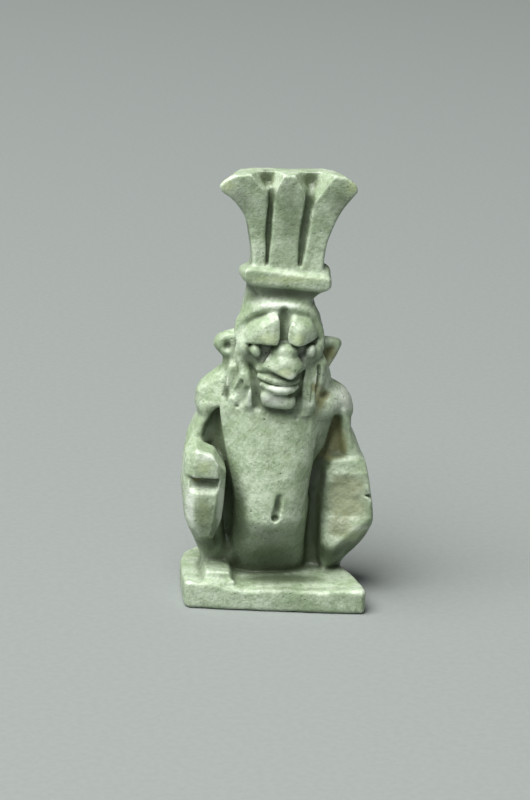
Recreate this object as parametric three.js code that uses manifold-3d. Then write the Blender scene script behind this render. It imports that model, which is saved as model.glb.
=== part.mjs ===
// A squatting dwarf god in pale green faience, moulded and carved in one piece with its plinth.
// It wears a crown of three plumes on a slab. Its left knee, shin, hand and foot are broken away.
// Millimetres. X runs to the viewer's right, -Y is the front and Z is up.
import * as THREE from "three";
import { ConvexGeometry } from "three/addons/geometries/ConvexGeometry.js";
import { LoftGeometry } from "three/addons/geometries/LoftGeometry.js";
import { mergeVertices } from "three/addons/utils/BufferGeometryUtils.js";
import Module from "manifold-3d";

// Driving dimensions, in millimetres
const figure = { height: 35.8 }; // from the plinth's top to the tips of the plumes
const plinth = {
  height: 2.1,
  leftMargin: 1.7, // beyond the feet and the seat
  rightMargin: 0.9,
  frontMargin: 0.2,
  backMargin: 2.0,
  skew: 1.65, // how much further forward the front's right end is than its left
  taper: 2.0, // how far the right side closes in towards the back
  corner: 2.5, // the cut at each back corner
  chip: 0.45, // the cut at each front corner
  edge: 0.22, // the worn edges
};
const crown = {
  frontFoot: 2.0, // how far the plumes stand forward of the axis at their foot
  frontTop: 1.65,
  backFoot: 2.1,
  backTop: 1.5,
  carvingDepth: 1.35, // of the notches and grooves between the plumes
  grooveWidth: 0.42,
  topFall: 0.1, // how much lower the plumes' tips are at the back than at the front
  slabOverhang: 0.6, // of the slab under the plumes, to the front
  slabBackOverhang: 0.3,
  slabTaper: 0.14, // the share of its width that the slab loses towards the back
  edge: 0.2,
};
const fracture = { setback: 1.9, lean: 4, turn: 9 }; // millimetres behind the axis, then degrees

// The carver's grid: the figure's own height in squares. Every carving below is given in squares.
const GRID_ROWS = 35.8;
const square = figure.height / GRID_ROWS;
const CROWN_FOOT = 27.4;
const STANCE = { left: -6.65, right: 6.5, front: -4.6, back: 3.9 }; // the feet and the seat
const SINK = 0.4; // how deep a form runs into the plinth or its neighbour, in squares
const ROUND_LARGE = [16, 10];
const ROUND_SMALL = [10, 6];
const SECTION_POINTS = 24;

const wasm = await Module();
wasm.setup();

// A place on the carver's grid, in millimetres above the plinth.
const at = (x, y, z) => new THREE.Vector3(x * square, y * square, plinth.height + z * square);

// A closed three.js geometry as a solid that can be joined and cut.
function solidOf(geometry) {
  const bare = new THREE.BufferGeometry();
  bare.setAttribute("position", geometry.getAttribute("position"));
  bare.setIndex(geometry.getIndex());
  const merged = mergeVertices(bare, 1e-4);
  return new wasm.Manifold(
    new wasm.Mesh({
      numProp: 3,
      vertProperties: merged.attributes.position.array,
      triVerts: new Uint32Array(merged.index.array),
    }),
  );
}

// The solid's surface as a three.js geometry.
function geometryOf(solid) {
  const { numProp, numVert, vertProperties, triVerts } = solid.getMesh();
  const positions = new Float32Array(numVert * 3);
  for (let i = 0; i < numVert; i++)
    positions.set(vertProperties.subarray(i * numProp, i * numProp + 3), i * 3);
  const geometry = new THREE.BufferGeometry();
  geometry.setAttribute("position", new THREE.BufferAttribute(positions, 3));
  geometry.setIndex(new THREE.BufferAttribute(triVerts, 1));
  geometry.computeVertexNormals();
  return geometry;
}

// An egg shape, tilted in the front view by the given degrees.
function eggGeometry([x, y, z], [rx, ry, rz], tilt = 0, [columns, rows] = ROUND_SMALL) {
  const geometry = new THREE.SphereGeometry(1, columns, rows).rotateX(Math.PI / 2);
  geometry.scale(rx * square, ry * square, rz * square);
  geometry.rotateY(THREE.MathUtils.degToRad(tilt));
  const centre = at(x, y, z);
  return geometry.translate(centre.x, centre.y, centre.z);
}

const egg = (...shape) => solidOf(eggGeometry(...shape));

function pointsOf(geometry) {
  const position = geometry.getAttribute("position");
  return Array.from({ length: position.count }, (_, i) =>
    new THREE.Vector3().fromBufferAttribute(position, i),
  );
}

// The tight skin over several balls, each [x, y, z, radius].
function skin(balls, roundness = ROUND_SMALL) {
  const points = balls.flatMap(([x, y, z, r]) =>
    pointsOf(eggGeometry([x, y, z], [r, r, r], 0, roundness)),
  );
  return solidOf(new ConvexGeometry(points));
}

// A raised or cut line through balls: the skin over each pair of neighbours.
function stroke(balls) {
  const links = balls.slice(1).map((ball, i) => skin([balls[i], ball], [8, 6]));
  return wasm.Manifold.union(links);
}

// A block with all its edges cut off, between two corners.
function block(low, high, cut) {
  const points = [];
  for (const axis of [0, 1, 2])
    for (const corner of [0, 1, 2, 3, 4, 5, 6, 7]) {
      const point = [0, 1, 2].map((k) => {
        const far = (corner >> k) & 1;
        const inset = k === axis ? 0 : cut;
        return far ? high[k] - inset : low[k] + inset;
      });
      points.push(at(...point));
    }
  return solidOf(new ConvexGeometry(points));
}

// A tower of level sections, each { z, x, half, front, back }: boxier the larger its squareness.
function tower(sections, squareness) {
  const bend = (value) => Math.sign(value) * Math.abs(value) ** (2 / squareness);
  const rings = sections.map(({ z, x, half, front, back }) =>
    Array.from({ length: SECTION_POINTS }, (_, i) => {
      const angle = (i / SECTION_POINTS) * 2 * Math.PI;
      const y = (front + back) / 2 + (bend(Math.sin(angle)) * (back - front)) / 2;
      return at(x + half * bend(Math.cos(angle)), y, z);
    }),
  );
  return solidOf(new LoftGeometry(rings, { capStart: true, capEnd: true }));
}

// A slab with the given outline in the front view, between two depths, with its edges cut off.
// The reshape, if any, moves each of its points.
function slab(outline, front, back, edge, reshape) {
  const corners = outline.map(([x, z]) => at(x, 0, z));
  const shape = new THREE.Shape(corners.map((p) => new THREE.Vector2(p.x, p.z)));
  const geometry = new THREE.ExtrudeGeometry(shape, {
    depth: back - front - 2 * edge,
    bevelEnabled: edge > 0,
    bevelThickness: edge,
    bevelSize: edge,
    bevelOffset: -edge,
    bevelSegments: 1,
  });
  geometry.translate(0, 0, edge - back).rotateX(Math.PI / 2);
  if (reshape) {
    const points = pointsOf(geometry);
    points.forEach(reshape);
    geometry.setFromPoints(points);
  }
  return solidOf(geometry);
}

function makePlinth() {
  const { height, skew, taper, corner, chip, edge } = plinth;
  const left = STANCE.left * square - plinth.leftMargin;
  const right = STANCE.right * square + plinth.rightMargin;
  const front = STANCE.front * square - plinth.frontMargin;
  const back = STANCE.back * square + plinth.backMargin;
  const outline = [
    [left, front + chip],
    [left + chip, front],
    [right - chip, front - skew],
    [right, front - skew + chip],
    [right - taper, back - corner],
    [right - taper - corner / 2, back],
    [left + corner * 0.75, back],
    [left, back - corner],
  ];
  const shape = new THREE.Shape(outline.map(([x, y]) => new THREE.Vector2(x, y)));
  const geometry = new THREE.ExtrudeGeometry(shape, {
    depth: height - 2 * edge,
    bevelThickness: edge,
    bevelSize: edge,
    bevelOffset: -edge,
    bevelSegments: 2,
  });
  return solidOf(geometry.translate(0, 0, edge));
}

function makeTorso() {
  const belly = tower(
    [
      { z: -SINK, x: -0.4, half: 3.1, front: -1.1, back: 3.4 },
      { z: 0.8, x: -0.4, half: 3.35, front: -1.9, back: 3.8 },
      { z: 1.9, x: -0.4, half: 3.5, front: -3.0, back: 3.9 },
      { z: 3.4, x: -0.38, half: 3.5, front: -3.9, back: 3.8 },
      { z: 5.4, x: -0.35, half: 3.4, front: -4.3, back: 3.6 },
      { z: 7.5, x: -0.35, half: 3.35, front: -4.3, back: 3.4 },
      { z: 10.2, x: -0.45, half: 3.5, front: -3.95, back: 3.2 },
      { z: 12.4, x: -0.75, half: 3.95, front: -3.45, back: 3.3 },
      { z: 15.0, x: -0.8, half: 4.1, front: -2.9, back: 3.4 },
      { z: 16.6, x: -0.7, half: 3.7, front: -2.2, back: 2.9 },
    ],
    3.8,
  );
  const back = tower(
    [
      { z: -SINK, x: -0.1, half: 4.6, front: 1.0, back: 3.7 },
      { z: 1.6, x: -0.1, half: 5.4, front: 0.8, back: 4.0 },
      { z: 4.5, x: -0.2, half: 6.5, front: 0.8, back: 3.9 },
      { z: 8.5, x: -0.4, half: 6.6, front: 1.0, back: 3.5 },
      { z: 11.5, x: -0.6, half: 6.1, front: 1.0, back: 3.4 },
      { z: 14.0, x: -0.6, half: 6.2, front: 0.6, back: 3.6 },
      { z: 16.0, x: -0.6, half: 5.9, front: 0.0, back: 3.5 },
      { z: 17.4, x: -0.6, half: 4.7, front: 0.0, back: 2.9 },
    ],
    2.8,
  );
  const spine = stroke([
    [-0.3, 3.75, 13.2, 0.35],
    [-0.3, 3.65, 8.0, 0.4],
    [-0.2, 4.15, 3.0, 0.4],
  ]);
  const navel = stroke([
    [-0.2, -4.5, 8.0, 0.22],
    [-0.35, -4.5, 6.9, 0.26],
    [-0.5, -4.5, 6.2, 0.36],
  ]);
  const dimple = egg([0.43, -4.05, 11.6], [0.45, 0.3, 0.45]);
  return belly.add(back).subtract(wasm.Manifold.union([spine, navel, dimple]));
}

function makeArms() {
  const right = tower(
    [
      { z: 9.0, x: -7.1, half: 1.3, front: -1.6, back: 2.0 },
      { z: 10.8, x: -7.35, half: 1.15, front: -1.5, back: 2.2 },
      { z: 12.4, x: -7.2, half: 0.9, front: -1.0, back: 2.4 },
      { z: 13.9, x: -6.65, half: 0.65, front: -0.8, back: 2.5 },
      { z: 14.7, x: -6.7, half: 1.0, front: -1.0, back: 2.7 },
      { z: 15.6, x: -6.2, half: 1.45, front: -1.3, back: 2.8 },
      { z: 16.7, x: -5.8, half: 1.6, front: -1.2, back: 2.6 },
      { z: 17.6, x: -5.0, half: 1.6, front: -0.9, back: 2.3 },
      { z: 18.4, x: -4.5, half: 0.9, front: -0.3, back: 1.7 },
    ],
    2.6,
  );
  const rightForearm = skin([
    [-7.2, 0.4, 10.9, 1.2],
    [-7.0, 0.4, 9.9, 1.3],
    [-6.8, -2.2, 11.3, 1.1],
    [-6.7, -2.6, 10.6, 1.3],
  ]);
  const rightHand = block([-8.2, -4.25, 9.7], [-5.0, -1.4, 12.1], 0.55);
  const left = tower(
    [
      { z: 9.4, x: 6.2, half: 1.3, front: -1.4, back: 2.0 },
      { z: 10.6, x: 6.35, half: 0.95, front: -1.2, back: 2.1 },
      { z: 11.9, x: 5.95, half: 0.65, front: -0.9, back: 2.3 },
      { z: 13.2, x: 5.6, half: 0.65, front: -0.9, back: 2.5 },
      { z: 14.1, x: 5.6, half: 1.05, front: -1.1, back: 2.7 },
      { z: 15.4, x: 5.0, half: 1.65, front: -1.4, back: 2.8 },
      { z: 16.1, x: 4.6, half: 1.65, front: -1.2, back: 2.6 },
      { z: 16.4, x: 4.45, half: 1.45, front: -0.9, back: 2.3 },
      { z: 16.65, x: 4.2, half: 1.0, front: -0.5, back: 1.9 },
    ],
    2.6,
  );
  return wasm.Manifold.union([right, rightForearm, rightHand, left]);
}

function makeRightLeg() {
  const thigh = tower(
    [
      { z: -SINK, x: -5.3, half: 1.0, front: -1.7, back: 2.2 },
      { z: 1.4, x: -5.5, half: 1.4, front: -1.8, back: 2.6 },
      { z: 2.8, x: -5.75, half: 1.75, front: -2.1, back: 3.2 },
      { z: 4.6, x: -6.05, half: 2.1, front: -2.3, back: 3.5 },
      { z: 7.6, x: -6.3, half: 2.2, front: -2.3, back: 3.2 },
      { z: 9.8, x: -6.2, half: 2.1, front: -2.0, back: 2.4 },
      { z: 10.8, x: -6.1, half: 1.7, front: -1.4, back: 1.8 },
    ],
    2.6,
  );
  // The shin is cut to a flat front between two bevels, and narrows to the ankle.
  const shinCuts = [
    { z: 9.15, low: [-8.45, -4.1], high: [-4.95, -1.0], bevel: 0.95 },
    { z: 8.0, low: [-8.6, -4.3], high: [-4.95, -1.0], bevel: 0.95 },
    { z: 6.2, low: [-8.4, -4.2], high: [-5.1, -1.0], bevel: 0.9 },
    { z: 4.9, low: [-8.0, -3.9], high: [-5.3, -1.0], bevel: 0.8 },
    { z: 3.8, low: [-7.5, -3.4], high: [-5.6, -1.0], bevel: 0.6 },
    { z: 1.8, low: [-6.9, -2.6], high: [-5.3, -0.6], bevel: 0.4 },
    { z: -SINK, low: [-6.6, -2.7], high: [-5.0, -0.6], bevel: 0.4 },
  ];
  const rings = shinCuts.map(({ z, low, high, bevel }) =>
    [
      [high[0], high[1]],
      [low[0], high[1]],
      [low[0], low[1] + bevel],
      [low[0] + bevel, low[1]],
      [high[0] - bevel, low[1]],
      [high[0], low[1] + bevel],
    ].map(([x, y]) => at(x, y, z)),
  );
  const shin = solidOf(new LoftGeometry(rings.reverse(), { capStart: true, capEnd: true }));
  const knee = block([-8.55, -3.9, 8.7], [-5.0, 0.0, 9.85], 0.4);
  const foot = skin([
    [-5.9, -0.4, 0.6, 1.0],
    [-5.9, -2.6, 0.6, 0.8],
    [-6.0, -3.9, 0.3, 0.5],
    [-4.9, -3.9, 0.3, 0.5],
  ]);
  const toes = block([-6.6, STANCE.front, -SINK], [-4.25, -3.7, 1.0], 0.2);
  const calfLine = stroke([
    [-8.75, -1.0, 8.0, 0.32],
    [-8.65, 0.4, 5.4, 0.32],
    [-8.0, 1.0, 3.2, 0.3],
  ]);
  return wasm.Manifold.union([thigh, shin, knee, foot, toes]).subtract(calfLine);
}

function makeLeftLeg() {
  const whole = tower(
    [
      { z: -SINK, x: 4.8, half: 1.1, front: -1.1, back: 2.4 },
      { z: 0.6, x: 4.9, half: 1.3, front: -1.3, back: 2.6 },
      { z: 1.6, x: 5.2, half: 1.9, front: -1.9, back: 3.1 },
      { z: 2.8, x: 5.6, half: 2.4, front: -2.8, back: 3.4 },
      { z: 4.4, x: 5.9, half: 2.55, front: -3.6, back: 3.6 },
      { z: 6.2, x: 5.9, half: 2.45, front: -3.6, back: 3.4 },
      { z: 8.4, x: 5.75, half: 2.25, front: -3.6, back: 3.0 },
      { z: 9.9, x: 5.65, half: 2.15, front: -3.4, back: 2.4 },
      { z: 10.45, x: 5.6, half: 1.85, front: -3.1, back: 2.0 },
    ],
    2.5,
  );
  const calfLine = stroke([
    [8.3, -2.2, 7.0, 0.3],
    [8.45, -0.6, 6.2, 0.34],
    [8.3, 0.6, 4.4, 0.34],
    [7.5, 1.2, 2.2, 0.3],
  ]);
  return whole.subtract(breakage().add(calfLine));
}

// Everything in front of the broken face, where the knee, shin and hand are lost.
function breakage() {
  const [width, depth, height] = [12, 8, 24].map((size) => size * square);
  const lost = new THREE.BoxGeometry(width, depth, height).translate(0, -depth / 2, 0);
  lost.rotateX(THREE.MathUtils.degToRad(fracture.lean));
  lost.rotateZ(THREE.MathUtils.degToRad(fracture.turn));
  const { x, y, z } = at(5.7, 0, 6.5);
  return solidOf(lost.translate(x, y - fracture.setback, z));
}

function makeHead() {
  const skull = tower(
    [
      { z: 15.2, x: -0.4, half: 2.6, front: -2.4, back: 2.8 },
      { z: 17.0, x: -0.4, half: 3.2, front: -2.8, back: 3.2 },
      { z: 19.5, x: -0.4, half: 3.5, front: -3.0, back: 3.4 },
      { z: 21.6, x: -0.4, half: 3.6, front: -3.0, back: 3.5 },
      { z: 23.6, x: -0.4, half: 3.45, front: -2.8, back: 3.3 },
      { z: 25.1, x: -0.35, half: 3.1, front: -2.3, back: 3.0 },
      { z: 26.2, x: -0.3, half: 2.9, front: -1.9, back: 2.6 },
    ],
    2.5,
  );
  const mane = [
    egg([-3.2, -0.1, 17.2], [2.0, 2.3, 3.0], 12, ROUND_LARGE),
    egg([2.7, -0.1, 17.2], [1.9, 2.3, 3.0], -8, ROUND_LARGE),
    tower(
      [
        { z: 12.9, x: -0.4, half: 1.5, front: 1.0, back: 3.9 },
        { z: 13.9, x: -0.4, half: 2.8, front: 0.6, back: 4.1 },
        { z: 16.5, x: -0.4, half: 3.8, front: 0.2, back: 4.1 },
        { z: 19.5, x: -0.4, half: 3.7, front: 0.0, back: 3.8 },
        { z: 21.5, x: -0.4, half: 3.2, front: 0.0, back: 3.3 },
      ],
      2.6,
    ),
  ];
  const muzzle = egg([-0.5, -2.3, 17.5], [2.0, 1.35, 2.2], 0, ROUND_LARGE);
  const sockets = wasm.Manifold.union([
    egg([-1.45, -3.5, 20.5], [0.75, 0.8, 0.6]),
    egg([1.05, -3.5, 20.4], [0.65, 0.8, 0.65]),
  ]);
  return wasm.Manifold.union([skull, muzzle, ...mane]).subtract(sockets);
}

function makeFace() {
  const brows = [
    skin([
      [-0.95, -2.8, 23.75, 0.5],
      [-0.85, -3.3, 21.95, 0.5],
      [-3.05, -2.3, 22.0, 0.5],
      [-2.1, -2.5, 23.3, 0.5],
      [-1.2, -2.2, 22.8, 0.9],
    ]),
    skin([
      [0.6, -2.8, 23.7, 0.5],
      [0.75, -3.3, 21.8, 0.5],
      [2.5, -2.3, 21.8, 0.5],
      [2.0, -2.5, 23.2, 0.5],
      [1.0, -2.2, 22.6, 0.9],
    ]),
  ];
  const hairline = stroke([
    [-3.45, -1.8, 22.6, 0.38],
    [-2.8, -2.2, 23.9, 0.4],
    [-1.6, -2.5, 24.55, 0.4],
    [-0.2, -2.55, 24.75, 0.4],
    [1.7, -2.4, 24.35, 0.4],
    [2.8, -1.9, 22.9, 0.38],
  ]);
  const eyes = [
    egg([-2.45, -2.6, 20.75], [0.85, 0.6, 0.55]),
    egg([1.85, -2.6, 20.75], [0.7, 0.6, 0.6]),
  ];
  const nose = skin([
    [-0.35, -2.7, 20.75, 0.5],
    [0.1, -4.05, 19.3, 0.4],
    [-1.15, -3.3, 18.95, 0.42],
    [1.2, -3.3, 19.0, 0.42],
    [0.25, -3.5, 18.5, 0.36],
  ]);
  const upperLip = stroke([
    [-2.05, -2.9, 18.15, 0.36],
    [-1.0, -3.35, 18.05, 0.42],
    [0.1, -3.4, 17.9, 0.38],
    [0.9, -3.1, 17.95, 0.34],
  ]);
  const lowerLip = stroke([
    [-1.85, -3.1, 17.85, 0.3],
    [-0.9, -3.55, 17.45, 0.42],
    [0.0, -3.65, 17.3, 0.42],
    [0.85, -3.25, 17.6, 0.3],
  ]);
  const chin = block([-2.15, -3.6, 15.55], [1.05, -1.8, 17.0], 0.4);
  return wasm.Manifold.union([...brows, hairline, ...eyes, nose, upperLip, lowerLip, chin]);
}

// The locks of the mane that frame the face and fall on the chest.
function makeLocks() {
  return wasm.Manifold.union([
    stroke([
      [-3.45, -2.2, 20.4, 0.36],
      [-3.15, -2.4, 18.9, 0.34],
      [-2.85, -2.65, 17.3, 0.32],
      [-2.8, -2.75, 15.5, 0.34],
    ]),
    stroke([
      [-3.55, -2.0, 17.9, 0.34],
      [-4.2, -1.8, 16.6, 0.42],
    ]),
    stroke([
      [-3.1, -2.5, 16.6, 0.3],
      [-3.5, -2.5, 15.5, 0.36],
    ]),
    stroke([
      [-4.3, -1.3, 18.9, 0.4],
      [-4.75, -1.2, 17.0, 0.45],
    ]),
    stroke([
      [-4.85, 0.2, 19.6, 0.6],
      [-4.9, 0.2, 17.8, 0.65],
    ]),
    stroke([
      [1.95, -2.5, 18.9, 0.28],
      [1.9, -2.85, 14.9, 0.28],
    ]),
    stroke([
      [2.5, -2.3, 18.7, 0.26],
      [2.5, -2.6, 15.1, 0.28],
    ]),
    stroke([
      [3.1, -2.0, 18.2, 0.28],
      [3.1, -2.2, 15.5, 0.32],
    ]),
  ]);
}

function makeEars() {
  const right = egg([-4.95, 0.3, 20.6], [1.2, 0.75, 1.6], -12, ROUND_LARGE).subtract(
    egg([-4.8, -0.45, 20.5], [0.5, 0.5, 0.65]),
  );
  const left = skin([
    [3.5, 0.3, 21.1, 0.65],
    [4.8, 0.2, 20.35, 0.6],
    [4.5, 0.3, 19.2, 0.5],
    [3.9, 0.3, 18.0, 0.4],
  ]).subtract(egg([4.2, -0.5, 20.0], [0.55, 0.55, 0.95], -10));
  return right.add(left);
}

// Shapes the plumes' slab: thinner at its top than at its foot, its tips falling to the back.
function shapeCrown(point) {
  const foot = plinth.height + CROWN_FOOT * square;
  const rise = THREE.MathUtils.clamp((point.z - foot) / ((GRID_ROWS - CROWN_FOOT) * square), 0, 1);
  const front = THREE.MathUtils.lerp(crown.frontFoot, crown.frontTop, rise);
  const back = THREE.MathUtils.lerp(crown.backFoot, crown.backTop, rise);
  const through = (point.y + crown.frontFoot) / (crown.frontFoot + crown.backFoot);
  point.y = point.y < 0 ? (point.y / crown.frontFoot) * front : (point.y / crown.backFoot) * back;
  point.z -= crown.topFall * rise * through;
}

// How far back a point of the plumes lies: the crown is thinner at its top than at its foot.
function crownDepth(depth, height) {
  const foot = plinth.height + CROWN_FOOT * square;
  const rise = THREE.MathUtils.clamp((height - foot) / ((GRID_ROWS - CROWN_FOOT) * square), 0, 1);
  const front = THREE.MathUtils.lerp(crown.frontFoot, crown.frontTop, rise);
  const back = THREE.MathUtils.lerp(crown.backFoot, crown.backTop, rise);
  return depth < 0 ? (depth / crown.frontFoot) * front : (depth / crown.backFoot) * back;
}

// Shapes the slab under the plumes: narrower at its back.
function taperSlab(point) {
  const depth = crown.frontFoot + crown.slabOverhang + crown.backFoot + crown.slabBackOverhang;
  const through = (point.y + crown.frontFoot + crown.slabOverhang) / depth;
  point.x *= 1 - crown.slabTaper * through;
}

function makeCrown() {
  const neck = tower(
    [
      { z: 24.8, x: -0.4, half: 2.5, front: -1.7, back: 2.2 },
      { z: 25.3, x: -0.35, half: 2.7, front: -1.75, back: 2.2 },
      { z: 26.2, x: -0.1, half: 3.5, front: -2.4, back: 2.3 },
    ],
    3.6,
  );
  const base = slab(
    [
      [-3.55, 26.0],
      [3.4, 25.45],
      [3.95, 26.1],
      [3.95, 26.75],
      [2.9, 27.15],
      [-3.0, 27.75],
      [-3.9, 27.7],
      [-4.3, 27.1],
    ],
    -crown.frontFoot - crown.slabOverhang,
    crown.backFoot + crown.slabBackOverhang,
    0.3,
    taperSlab,
  );
  const top = GRID_ROWS;
  const plumes = slab(
    [
      [-3.05, 27.2],
      [3.1, 26.8],
      [3.25, 28.7],
      [3.62, 30.2],
      [4.09, 31.4],
      [4.71, 32.7],
      [5.75, 34.05],
      [5.8, 34.5],
      [5.2, 35.3],
      [4.3, top],
      [-4.0, top],
      [-5.15, 35.3],
      [-6.1, 34.55],
      [-6.1, 34.25],
      [-5.3, 33.45],
      [-4.55, 32.7],
      [-3.98, 32.0],
      [-3.48, 30.8],
      [-3.2, 28.9],
    ],
    -crown.frontFoot,
    crown.backFoot,
    crown.edge,
    shapeCrown,
  );
  return wasm.Manifold.union([neck, base, plumes.subtract(plumeCuts())]);
}

// The pointed notches between the plumes' tips, and the grooves that run down from them.
function plumeCuts() {
  const above = GRID_ROWS + 1;
  const floor = crown.carvingDepth - crown.frontTop;
  const half = crown.grooveWidth / 2 / square;
  const notches = [
    { tips: [-3.3, -0.5], point: [-1.5, 33.8], foot: [-1.6, 27.9] },
    { tips: [0.2, 3.3], point: [1.7, 33.7], foot: [1.2, 27.8] },
  ];
  const cuts = notches.flatMap(({ tips, point, foot }) => [
    [
      [point[0] - half, point[1]],
      [point[0] + half, point[1]],
      [tips[1] + 0.5, above],
      [tips[0] - 0.5, above],
    ],
    [
      [foot[0] - half / 2, foot[1]],
      [foot[0] + half / 2, foot[1]],
      [point[0] + half, point[1] + 0.4],
      [point[0] - half, point[1] + 0.4],
    ],
  ]);
  const reach = crown.frontFoot + 1;
  return wasm.Manifold.union(cuts.map((outline) => slab(outline, -reach, floor, 0)));
}

function makeFigure() {
  const carved = wasm.Manifold.union([
    makeTorso(),
    makeArms(),
    makeRightLeg(),
    makeLeftLeg(),
    makeHead(),
    makeFace(),
    makeLocks(),
    makeEars(),
    makeCrown(),
  ]);
  const sideGrooves = [
    stroke([
      [-2.45, -3.0, 18.7, 0.2],
      [-2.35, -3.1, 15.4, 0.26],
    ]),
    stroke([
      [1.35, -3.0, 18.4, 0.24],
      [1.42, -3.1, 15.0, 0.3],
    ]),
  ];
  const handGroove = block([-8.9, -4.9, 9.35], [-4.6, -3.3, 9.75], 0.12);
  const pit = egg([3.6, -1.5, 15.9], [0.34, 0.5, 0.34]);
  return carved.subtract(wasm.Manifold.union([...sideGrooves, handGroove, pit]));
}

const solid = makeFigure().add(makePlinth());
const faience = new THREE.MeshStandardMaterial({ color: 0xa9b99c, roughness: 0.42, metalness: 0 });
const besFigure = new THREE.Mesh(geometryOf(solid), faience);
besFigure.name = "bes_figure";

// The frame's origin is under the middle of the figure's box.
const box = new THREE.Box3().setFromObject(besFigure);
const middle = box.getCenter(new THREE.Vector3());
besFigure.position.set(-middle.x, -middle.y, -box.min.z);

const group = new THREE.Group();
group.add(besFigure);
export default group;
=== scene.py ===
# A worn faience figure of a squatting dwarf god, on a pale floor in soft light.
# The figure is shaped as clay on a grid of signed distances, then skinned with one mesh.
# Shapes are in millimetres in the carver's frame: X right, -Y front, Z up from the underside.
import math

import bmesh
import bpy
import numpy as np
from mathutils import Matrix, Vector


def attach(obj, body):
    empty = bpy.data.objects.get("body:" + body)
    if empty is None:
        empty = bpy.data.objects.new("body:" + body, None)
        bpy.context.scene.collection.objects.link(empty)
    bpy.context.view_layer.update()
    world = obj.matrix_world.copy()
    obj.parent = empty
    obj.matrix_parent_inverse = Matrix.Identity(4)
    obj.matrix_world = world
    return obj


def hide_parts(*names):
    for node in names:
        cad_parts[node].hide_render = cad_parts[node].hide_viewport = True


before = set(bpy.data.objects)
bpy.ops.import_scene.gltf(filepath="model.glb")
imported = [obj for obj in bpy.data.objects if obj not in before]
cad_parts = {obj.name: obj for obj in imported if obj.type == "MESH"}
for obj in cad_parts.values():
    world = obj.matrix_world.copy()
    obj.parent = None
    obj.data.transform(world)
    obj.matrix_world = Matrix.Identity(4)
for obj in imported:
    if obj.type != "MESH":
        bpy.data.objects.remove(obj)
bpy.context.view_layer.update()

MM = 0.001
HEIGHT = 37.9
PLINTH_TOP = 2.1
AXIS_PLACE = (0.075, 0.275)  # where the carver's axis stands in the shared frame
STEP = 0.1
MOST_TRIANGLES = 190000
FAR = 3.0  # the distance that empty space starts with
FLATTEST = 0.04  # the smallest squared slope used where points are moved
CORNER_CUT = 0.22  # as a share of a plate's side
PROFILE_STEPS = 160
PROFILE_REACH = 6  # steps to each side that a tower's sections are smoothed over
NOISE_LOW = (-12.0, -10.0, -3.0)
NOISE_SIZE = (24, 20, 44)
NOISE_SPARE = 6  # lattice points past the noise's box
NOISE_GAIN = 1.7


# Shapes: each is a box that holds it and a function that gives the distance to its surface.


class Shape:
    def __init__(self, low, high, distance):
        self.low = np.array(low, dtype=float)
        self.high = np.array(high, dtype=float)
        self.distance = distance


def soft_min(a, b, blend):
    if blend <= 0.0:
        return np.minimum(a, b)
    share = np.clip(0.5 + 0.5 * (b - a) / blend, 0.0, 1.0)
    return b + (a - b) * share - blend * share * (1.0 - share)


def soft_max(a, b, blend):
    return -soft_min(-a, -b, blend)


def ball(centre, radii, tilt=0.0):
    """An egg, tilted in the front view by the given degrees."""
    cx, cy, cz = centre
    rx, ry, rz = radii
    cosine = math.cos(math.radians(tilt))
    sine = math.sin(math.radians(tilt))

    def distance(x, y, z):
        across = cosine * (x - cx) - sine * (z - cz)
        along = sine * (x - cx) + cosine * (z - cz)
        deep = y - cy
        near = np.sqrt((across / rx) ** 2 + (deep / ry) ** 2 + (along / rz) ** 2)
        slope = np.sqrt((across / rx**2) ** 2 + (deep / ry**2) ** 2 + (along / rz**2) ** 2)
        return near * (near - 1.0) / np.maximum(slope, 1e-3)

    reach = max(radii)
    return Shape(
        [cx - reach, cy - ry, cz - reach], [cx + reach, cy + ry, cz + reach], distance
    )


def rod(*balls):
    """A thick line from ball to ball, each (x, y, z, radius)."""
    stops = np.array(balls, dtype=float)

    def distance(x, y, z):
        nearest = None
        for start, end in zip(stops[:-1], stops[1:]):
            way = end[:3] - start[:3]
            share = (x - start[0]) * way[0] + (y - start[1]) * way[1] + (z - start[2]) * way[2]
            share = np.clip(share / (way @ way), 0.0, 1.0)
            gap = np.sqrt(
                (x - start[0] - share * way[0]) ** 2
                + (y - start[1] - share * way[1]) ** 2
                + (z - start[2] - share * way[2]) ** 2
            )
            gap = gap - (start[3] + share * (end[3] - start[3]))
            nearest = gap if nearest is None else np.minimum(nearest, gap)
        return nearest

    thick = stops[:, 3:4]
    return Shape((stops[:, :3] - thick).min(axis=0), (stops[:, :3] + thick).max(axis=0), distance)


def facets(points, rounding):
    """The tight skin over the points, with its edges rounded."""
    hull = bmesh.new()
    for point in points:
        hull.verts.new(point)
    bmesh.ops.convex_hull(hull, input=hull.verts)
    middle = Vector(np.mean(points, axis=0))
    planes = {}
    for face in hull.faces:
        normal = face.normal.copy()
        if normal.length < 0.5:
            continue
        offset = normal.dot(face.verts[0].co)
        if normal.dot(middle) > offset:
            normal, offset = -normal, -offset
        planes[tuple(round(value, 3) for value in (*normal, offset))] = (*normal, offset)
    hull.free()

    def distance(x, y, z):
        furthest = None
        for nx, ny, nz, offset in planes.values():
            gap = x * nx + y * ny + z * nz - offset
            furthest = gap if furthest is None else soft_max(furthest, gap, rounding)
        return furthest

    return Shape(np.min(points, axis=0), np.max(points, axis=0), distance)


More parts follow.
